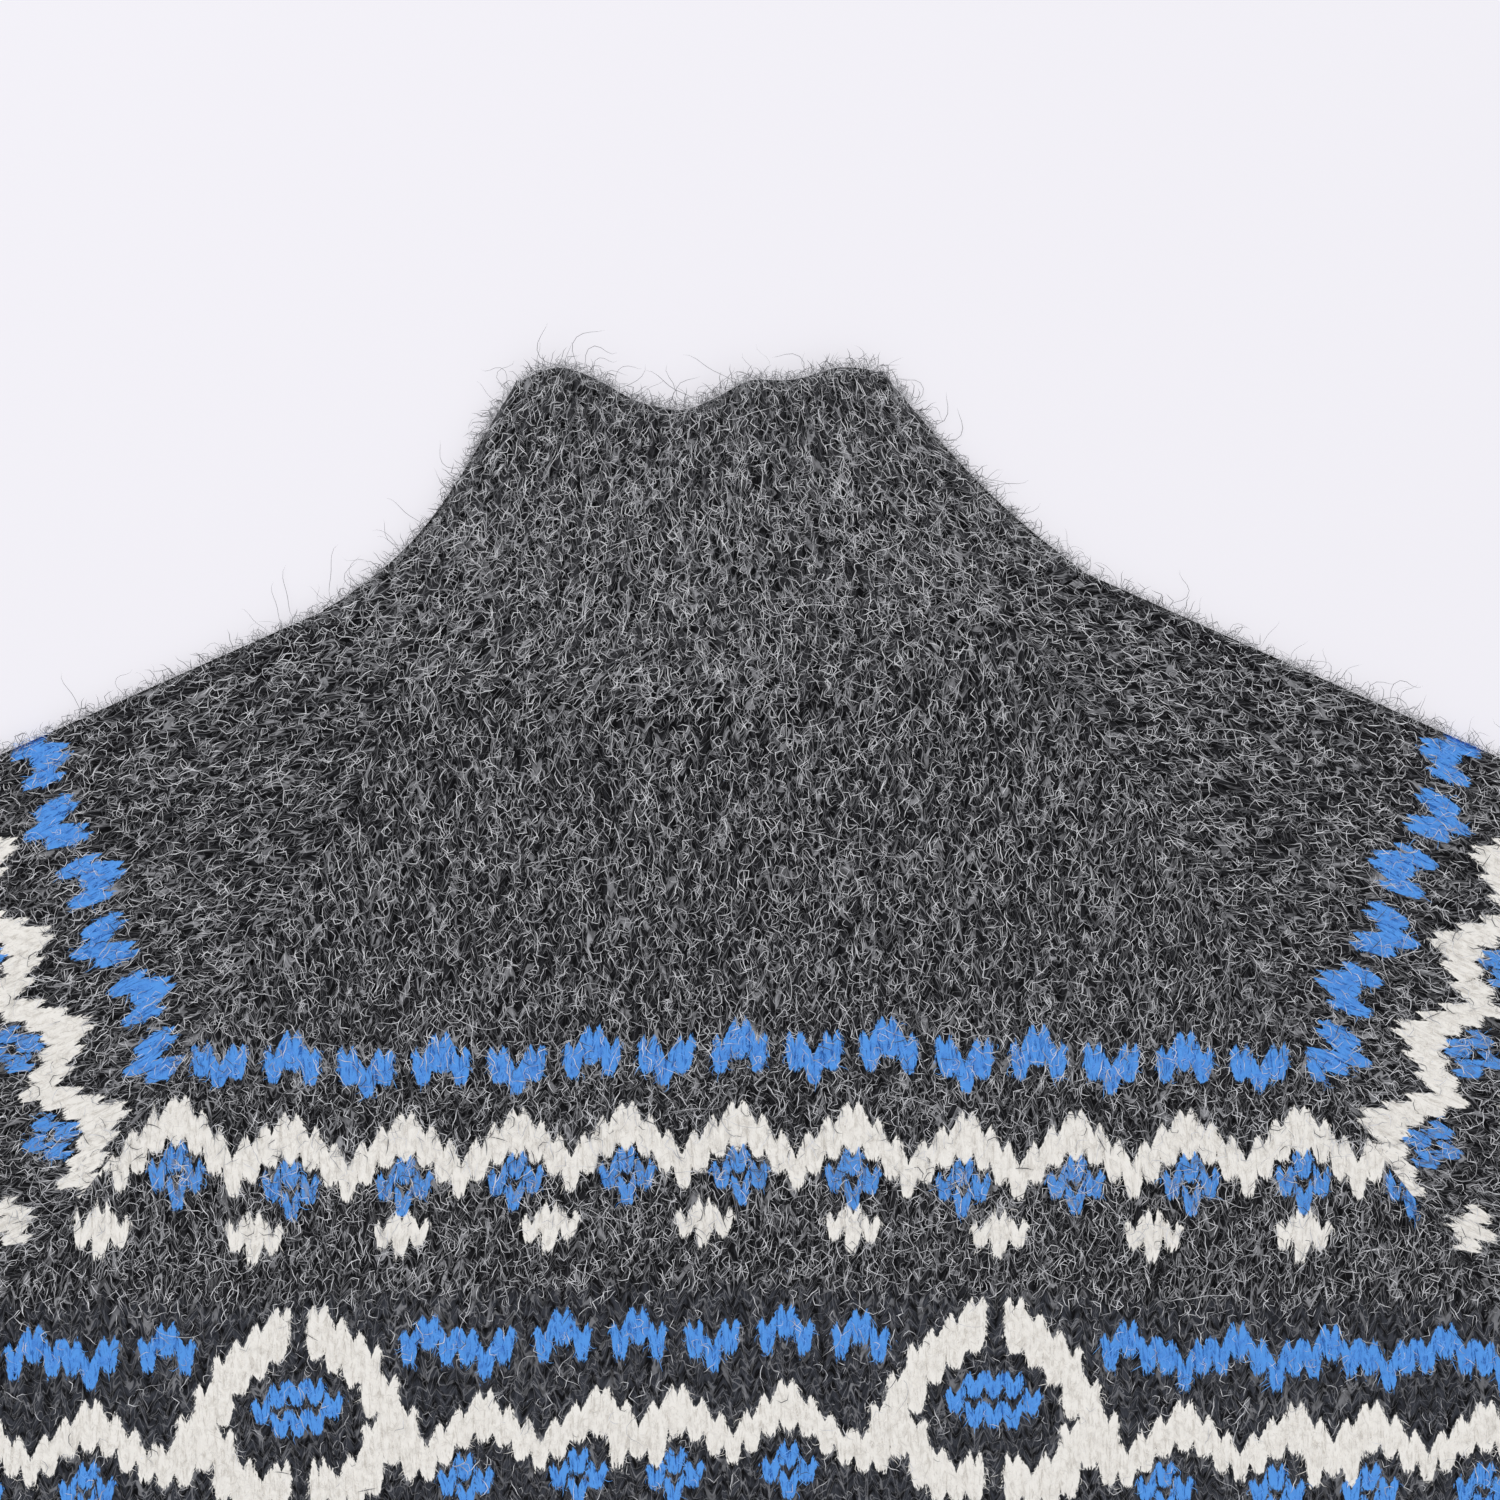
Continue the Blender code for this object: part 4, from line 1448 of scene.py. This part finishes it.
class Nap:
    """Plants loose fibres on the skins."""

    def __init__(self) -> None:
        """Make the stocks of bent fibres and the shades."""
        self.stocks: dict[Strand, bpy.types.Collection] = {}
        for strand in Strand:
            stock = bpy.data.collections.new(f"fibre_stock_{strand.name.lower()}")
            bpy.context.scene.collection.children.link(stock)
            for index, bends in enumerate(FIBRE_BENDS):
                name = f"fibre_{strand.name.lower()}_{index}"
                stock.objects.link(bpy.data.objects.new(name, Fibre(strand, *bends).mesh(name)))
            self.stocks[strand] = stock
        self.finishes = {shade: FibreFinish(*shade.value).make() for shade in Shade}

    def clear_stock(self) -> None:
        """Remove the stocks once every skin has its nap."""
        for stock in self.stocks.values():
            for fibre in list(stock.objects):
                bpy.data.objects.remove(fibre)
            bpy.data.collections.remove(stock)

    def plant(self, skin: bpy.types.Object, name: str, layers: tuple[NapLayer, ...],
              seed: int) -> bpy.types.Object:
        """Plant the layers on a skin.

        Args:
            skin: The knitted skin.
            name: The nap's name.
            layers: The populations.
            seed: Start of the random draws.

        Returns:
            The nap's object, a mesh of its own.
        """
        group = self.planting(layers, seed)
        host = add_object(name, skin.data)
        host.modifiers.new("plant", "NODES").node_group = group
        graph = bpy.context.evaluated_depsgraph_get()
        mesh = bpy.data.meshes.new_from_object(host.evaluated_get(graph), depsgraph=graph)
        bpy.data.objects.remove(host)
        bpy.data.node_groups.remove(group)
        mesh.name = name
        self.settle(mesh)
        self.map_fibres(mesh)
        for attribute in ("yarn", "wale", "nap", "outward", "strand", "local"):
            if attribute in mesh.attributes:
                mesh.attributes.remove(mesh.attributes[attribute])
        return add_object(name, mesh)

    def settle(self, mesh: bpy.types.Mesh) -> None:
        """Flatten the fibres that would reach into the table or stand too high."""
        places = read_all(mesh.vertices, "co", 3)
        places[:, 2] = np.clip(places[:, 2], UNDER_CLEAR, NAP_CEILING)
        mesh.vertices.foreach_set("co", places.ravel())
        mesh.update()

    def planting(self, layers: tuple[NapLayer, ...], seed: int) -> bpy.types.NodeTree:
        """Write the node tree that grows the layers.

        Args:
            layers: The populations.
            seed: Start of the random draws.

        Returns:
            The geometry node tree.
        """
        group = bpy.data.node_groups.new("nap", "GeometryNodeTree")
        for way in ("INPUT", "OUTPUT"):
            group.interface.new_socket("Geometry", in_out=way, socket_type="NodeSocketGeometry")
        tree = Tree(group)
        skin = tree.node("NodeGroupInput").outputs[0]
        join = tree.node("GeometryNodeJoinGeometry")
        for index, layer in enumerate(layers):
            grown = self.grow(tree, skin, layer, index, seed + SEED_STRIDE * index)
            tree.put(join.inputs[0], grown)
        tree.node("NodeGroupOutput", {0: join.outputs[0]})
        return group

    def draw(self, tree: Tree, seed: int, kind: str, low: object,
             high: object) -> bpy.types.NodeSocket:
        """Return a random value for each point, between two ends."""
        place = DRAWS.index(kind)
        return tree.node("FunctionNodeRandomValue", {
            2 * place: low, 2 * place + 1: high, "Seed": seed}, data_type=kind).outputs[place]

    def grow(self, tree: Tree, skin: bpy.types.NodeSocket, layer: NapLayer, number: int,
             seed: int) -> bpy.types.NodeSocket:
        """Grow one layer.

        Args:
            tree: The node tree.
            skin: The skin's geometry.
            layer: The population.
            number: The layer's place among the layers.
            seed: Its random seed.

        Returns:
            The layer's realized mesh.
        """
        scatter = tree.node("GeometryNodeDistributePointsOnFaces", {
            "Mesh": skin, "Density": self.density(tree, layer), "Seed": seed}).outputs
        spread, lift = math.radians(layer.spread), math.radians(layer.lift)
        dip = lift if layer.ground is Ground.EDGE else LOWEST_RISE
        turn = self.draw(tree, seed + 1, "FLOAT_VECTOR", (-ROLL, -lift, -spread),
                         (ROLL, dip, spread))
        size = self.draw(tree, seed + 2, "FLOAT", layer.shortest, layer.longest)
        pick = self.draw(tree, seed + 3, "INT", 0, len(FIBRE_BENDS) - 1)
        rotate = tree.node("FunctionNodeRotateRotation", {
            0: self.facing(tree, layer, scatter["Normal"]),
            1: tree.node("FunctionNodeEulerToRotation", {0: turn}).outputs[0],
        }, rotation_space="LOCAL")
        stock = tree.node("GeometryNodeCollectionInfo", {
            "Collection": self.stocks[layer.strand], "Separate Children": True,
            "Reset Children": True})
        place = tree.node("GeometryNodeInstanceOnPoints", {
            "Points": scatter["Points"], "Instance": stock.outputs[0], "Pick Instance": True,
            "Instance Index": pick, "Rotation": rotate.outputs[0], "Scale": size})
        strand = tree.node("FunctionNodeIntegerMath", {
            0: tree.node("GeometryNodeInputIndex").outputs[0], 1: number * LAYER_STRIDE,
        }, operation="ADD")
        mark = tree.node("GeometryNodeStoreNamedAttribute", {
            "Name": "strand", "Geometry": place.outputs[0], "Value": strand.outputs[0],
        }, data_type="INT", domain="INSTANCE")
        real = tree.node("GeometryNodeRealizeInstances", {0: mark.outputs[0]})
        return tree.node("GeometryNodeSetMaterial", {
            "Geometry": real.outputs[0], "Material": self.finishes[layer.shade]}).outputs[0]

    def read(self, tree: Tree, name: str, kind: str = "FLOAT_VECTOR") -> bpy.types.NodeSocket:
        """Return one of the skin's attributes."""
        return tree.node("GeometryNodeInputNamedAttribute", {"Name": name},
                         data_type=kind).outputs[0]

    def facing(self, tree: Tree, layer: NapLayer,
               normal: bpy.types.NodeSocket) -> bpy.types.NodeSocket:
        """Return how a layer's fibres lie before their random turn.

        Args:
            tree: The node tree.
            layer: The population.
            normal: The cloth's normals.

        Returns:
            Along the wales and flat on the cloth, or straight out of the free edge.
        """
        way = self.read(tree, "outward" if layer.ground is Ground.EDGE else "wale")
        along = tree.node("FunctionNodeAlignRotationToVector", {"Vector": way}, axis="X",
                          pivot_axis="Z")
        if layer.ground is not Ground.EDGE:
            upright = tree.node("FunctionNodeAlignRotationToVector", {"Vector": normal}, axis="Z")
            tree.put(along.inputs["Rotation"], upright.outputs[0])
        return along.outputs[0]

    def density(self, tree: Tree, layer: NapLayer) -> bpy.types.NodeSocket:
        """Return the density field of a layer: the skin's nap, on the layer's own stitches."""
        plain, full, _ = tree.split(self.read(tree, "nap"))
        if layer.ground is Ground.EDGE:
            length = tree.node("ShaderNodeVectorMath", {0: self.read(tree, "outward")},
                               operation="LENGTH")
            return tree.times(full, layer.density, length.outputs["Value"])
        parts = tree.node("FunctionNodeSeparateColor",
                          {0: self.read(tree, "yarn", "FLOAT_COLOR")}).outputs
        cream, blue = parts[0], parts[1]
        if layer.ground is Ground.CHARCOAL:
            veiled = tree.math("SUBTRACT", blue, tree.times(parts[2], VEIL_HAIR), clamp=True)
            share = tree.math("SUBTRACT", 1.0, tree.math("MAXIMUM", cream, veiled), clamp=True)
            return tree.times(plain, layer.density, share)
        share = tree.math("GREATER_THAN", cream if layer.ground is Ground.CREAM else blue, 0.5)
        return tree.times(full, layer.density, share)

    def map_fibres(self, mesh: bpy.types.Mesh) -> None:
        """Give every fibre a small patch of its own on the bake map."""
        while mesh.uv_layers:
            mesh.uv_layers.remove(mesh.uv_layers[0])
        if not mesh.vertices or "strand" not in mesh.attributes:
            return
        strand = read_all(mesh.attributes["strand"].data, "value", kind=np.int32)
        local = read_all(mesh.attributes["local"].data, "vector", 3)
        found, fibre = np.unique(strand, return_inverse=True)
        side = math.ceil(math.sqrt(len(found)))
        write_map(mesh, "OFBake", np.column_stack([
            (fibre % side + PATCH_INSET + PATCH_REACH * local[:, 0]) / side,
            (fibre // side + PATCH_INSET + PATCH_REACH * local[:, 1]) / side]))


# ---- studio ---------------------------------------------------------------------------------------
@dataclass
class Studio:
    """A pale table, soft light and a camera that looks straight down on the yoke.

    Attributes:
        table_size: The table's side.
        view_width: Width of what the camera sees.
        view_centre: The place it looks at.
        cloth_height: Height at which the view is so wide.
        lens: Focal length in millimetres.
        sensor: The sensor's width in millimetres.
        daylight: Colour of the light from all round.
        daylight_strength: Its strength.
    """

    table_size: float = 6.0
    view_width: float = 0.510
    view_centre: tuple[float, float] = (0.0, 0.24464)
    cloth_height: float = 0.006
    lens: float = 135.0
    sensor: float = 36.0
    daylight: RGB = (0.94, 0.96, 1.0)
    daylight_strength: float = 0.62

    def build(self) -> None:
        """Add table, world, lights and camera."""
        self.add_table()
        self.add_world()
        self.add_light("key", (-0.9, 1.3, 1.7), 1.6, 19.0)
        self.add_light("fill", (1.4, -0.6, 2.0), 2.4, 16.0)
        self.add_camera()

    def add_table(self) -> None:
        """Add the table."""
        bm = bmesh.new()
        bmesh.ops.create_grid(bm, x_segments=8, y_segments=8, size=self.table_size / 2)
        table = add_object("table", finished(bm, "table"))
        table.data.materials.append(TableFinish().make())

    def add_world(self) -> None:
        """Light the scene evenly from all round."""
        world = bpy.data.worlds.new("studio")
        world.use_nodes = True
        background = world.node_tree.nodes["Background"]
        background.inputs["Color"].default_value = (*self.daylight, 1.0)
        background.inputs["Strength"].default_value = self.daylight_strength
        bpy.context.scene.world = world
        bpy.context.scene.view_settings.view_transform = "Standard"

    def add_light(self, name: str, place: tuple[float, ...], size: float, power: float) -> None:
        """Add a square area light that faces the yoke.

        Args:
            name: The light's name.
            place: Where it hangs.
            size: Its side.
            power: Its power in watts.
        """
        light = bpy.data.lights.new(name, "AREA")
        light.shape = "SQUARE"
        light.size = size
        light.energy = power
        lamp = bpy.data.objects.new(name, light)
        lamp.location = place
        target = Vector((*self.view_centre, 0.0))
        lamp.rotation_euler = (target - Vector(place)).to_track_quat("-Z", "Y").to_euler()
        bpy.context.scene.collection.objects.link(lamp)

    def add_camera(self) -> None:
        """Add a long-lens camera whose view is as wide as the yoke."""
        camera = bpy.data.cameras.new("camera")
        camera.lens = self.lens
        camera.sensor_width = self.sensor
        holder = bpy.data.objects.new("camera", camera)
        distance = self.view_width * self.lens / self.sensor
        holder.location = (*self.view_centre, self.cloth_height + distance)
        bpy.context.scene.collection.objects.link(holder)
        bpy.context.scene.camera = holder


# ---- the garment ------------------------------------------------------------------------------------
@dataclass
class ClothPiece:
    """One cut and knitted piece: its skin, its wrong side and its nap.

    Attributes:
        skin: The knitted skin.
        slot: The record's material slot.
        flat: Width and length of the flat cut; not used.
        rests_on: What the piece lies on; not used.
        seed: Start of the random draws of its nap.
    """

    skin: KnitSkin
    slot: str
    flat: tuple[float, float]
    rests_on: tuple[str, ...]
    seed: int

    def dress(self, wool: bpy.types.Material, inside: bpy.types.Material, nap: Nap) -> None:
        """Build the piece and tell the frame about it.

        Args:
            wool: The knit's material.
            inside: The wrong side's material.
            nap: Plants the fibres.
        """
        node = self.skin.node
        knit = self.skin.build()
        knit.data.materials.append(wool)
        lining = WrongSide(node).build(inside)
        worn = [knit, lining, nap.plant(knit, f"{node}_nap", NAP_LAYERS, self.seed)]
        if self.skin.colourwork is not None:
            worn.append(nap.plant(knit, f"{node}_yarn_nap", YARN_LAYERS, self.seed + 7))
        for piece in worn:
            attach(piece, ROOT)
        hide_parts(node)
        for piece in worn:
            count = sum(len(face.vertices) - 2 for face in piece.data.polygons)
            LOG.info("%s: %d triangles", piece.name, count)


@dataclass
class Pullover:
    """The whole garment."""

    def pieces(self) -> list[ClothPiece]:
        """Return the pieces of the garment, each with its wales, colours and cut."""
        body = Colourwork(yoke_motifs(0, 6, 6, 34) + second_band(14, 18))
        both = (Side.UPPER, Side.UNDER)
        body_wales = BodyWales(BODY_GAUGE, BODY_COLUMN_EDGE, BODY_ROW_TOP)
        rib_wales = BodyWales(RIB_GAUGE, 0.0, 0.0, 0.0, drift=0.0, search=(-60, 60, 40, 90))
        made = [
            ClothPiece(KnitSkin("front_panel", body_wales, Knit.STOCKINETTE, (Side.UPPER,), body),
                       "patterned_knit", (0.584, 0.594), ("back_panel",), 11),
            ClothPiece(KnitSkin("back_panel", body_wales, Knit.STOCKINETTE, (Side.UNDER,), body),
                       "patterned_knit", (0.584, 0.597), ("table",), 12),
            ClothPiece(KnitSkin("roll_collar", CollarWales(RIB_GAUGE), Knit.RIB, both,
                                fine=(6, 2), coarse=(6, 1), wander=0.0005, top_nap=1.65,
                                rounding=60),
                       "rib_knit", (0.519, 0.128), ("table",), 13),
            ClothPiece(KnitSkin("hem_rib", rib_wales, Knit.RIB, both, fine=(4, 1),
                                coarse=(4, 1), wander=0.0005),
                       "rib_knit", (1.098, 0.071), ("table",), 14),
        ]
        for name, sign in (("left", 1), ("right", -1)):
            anchor = (0.2129, 0.2099) if sign > 0 else (-0.2160, 0.2070)
            peak, dot = (9, 19) if sign > 0 else (8, 18)
            work = Colourwork(yoke_motifs(peak, 5, dot, LAST_COLUMN) + second_band(12, 18))
            wales = SleeveWales(SLEEVE_GAUGE, sign, anchor)
            cuff_wales = SleeveWales(RIB_GAUGE, sign, anchor, search=(-36, 48, 60, 140))
            made.append(ClothPiece(
                KnitSkin(f"{name}_sleeve", wales, Knit.STOCKINETTE, both, work),
                "patterned_knit", (0.410, 0.640), ("table",), 20 + sign))
            made.append(ClothPiece(
                KnitSkin(f"{name}_cuff", cuff_wales, Knit.RIB, both, fine=(4, 1), coarse=(4, 1),
                         wander=0.0003),
                "rib_knit", (0.244, 0.070), ("table",), 30 + sign))
        return made

    def build(self) -> None:
        """Dress every piece."""
        nap = Nap()
        patterned = WoolFinish("charcoal_patterned_wool").make()
        ribbed = WoolFinish("charcoal_rib_wool", ground=(0.030, 0.030, 0.033),
                            patterned=False).make()
        inside = WrongSideFinish().make()
        for piece in self.pieces():
            wool = patterned if piece.slot == "patterned_knit" else ribbed
            piece.dress(wool, inside, nap)
        nap.clear_stock()


def main() -> None:
    """Build the studio and the pullover."""
    logging.basicConfig(level=logging.INFO, format="%(name)s %(message)s")
    Studio().build()
    Pullover().build()


if __name__ == "__main__":
    main()
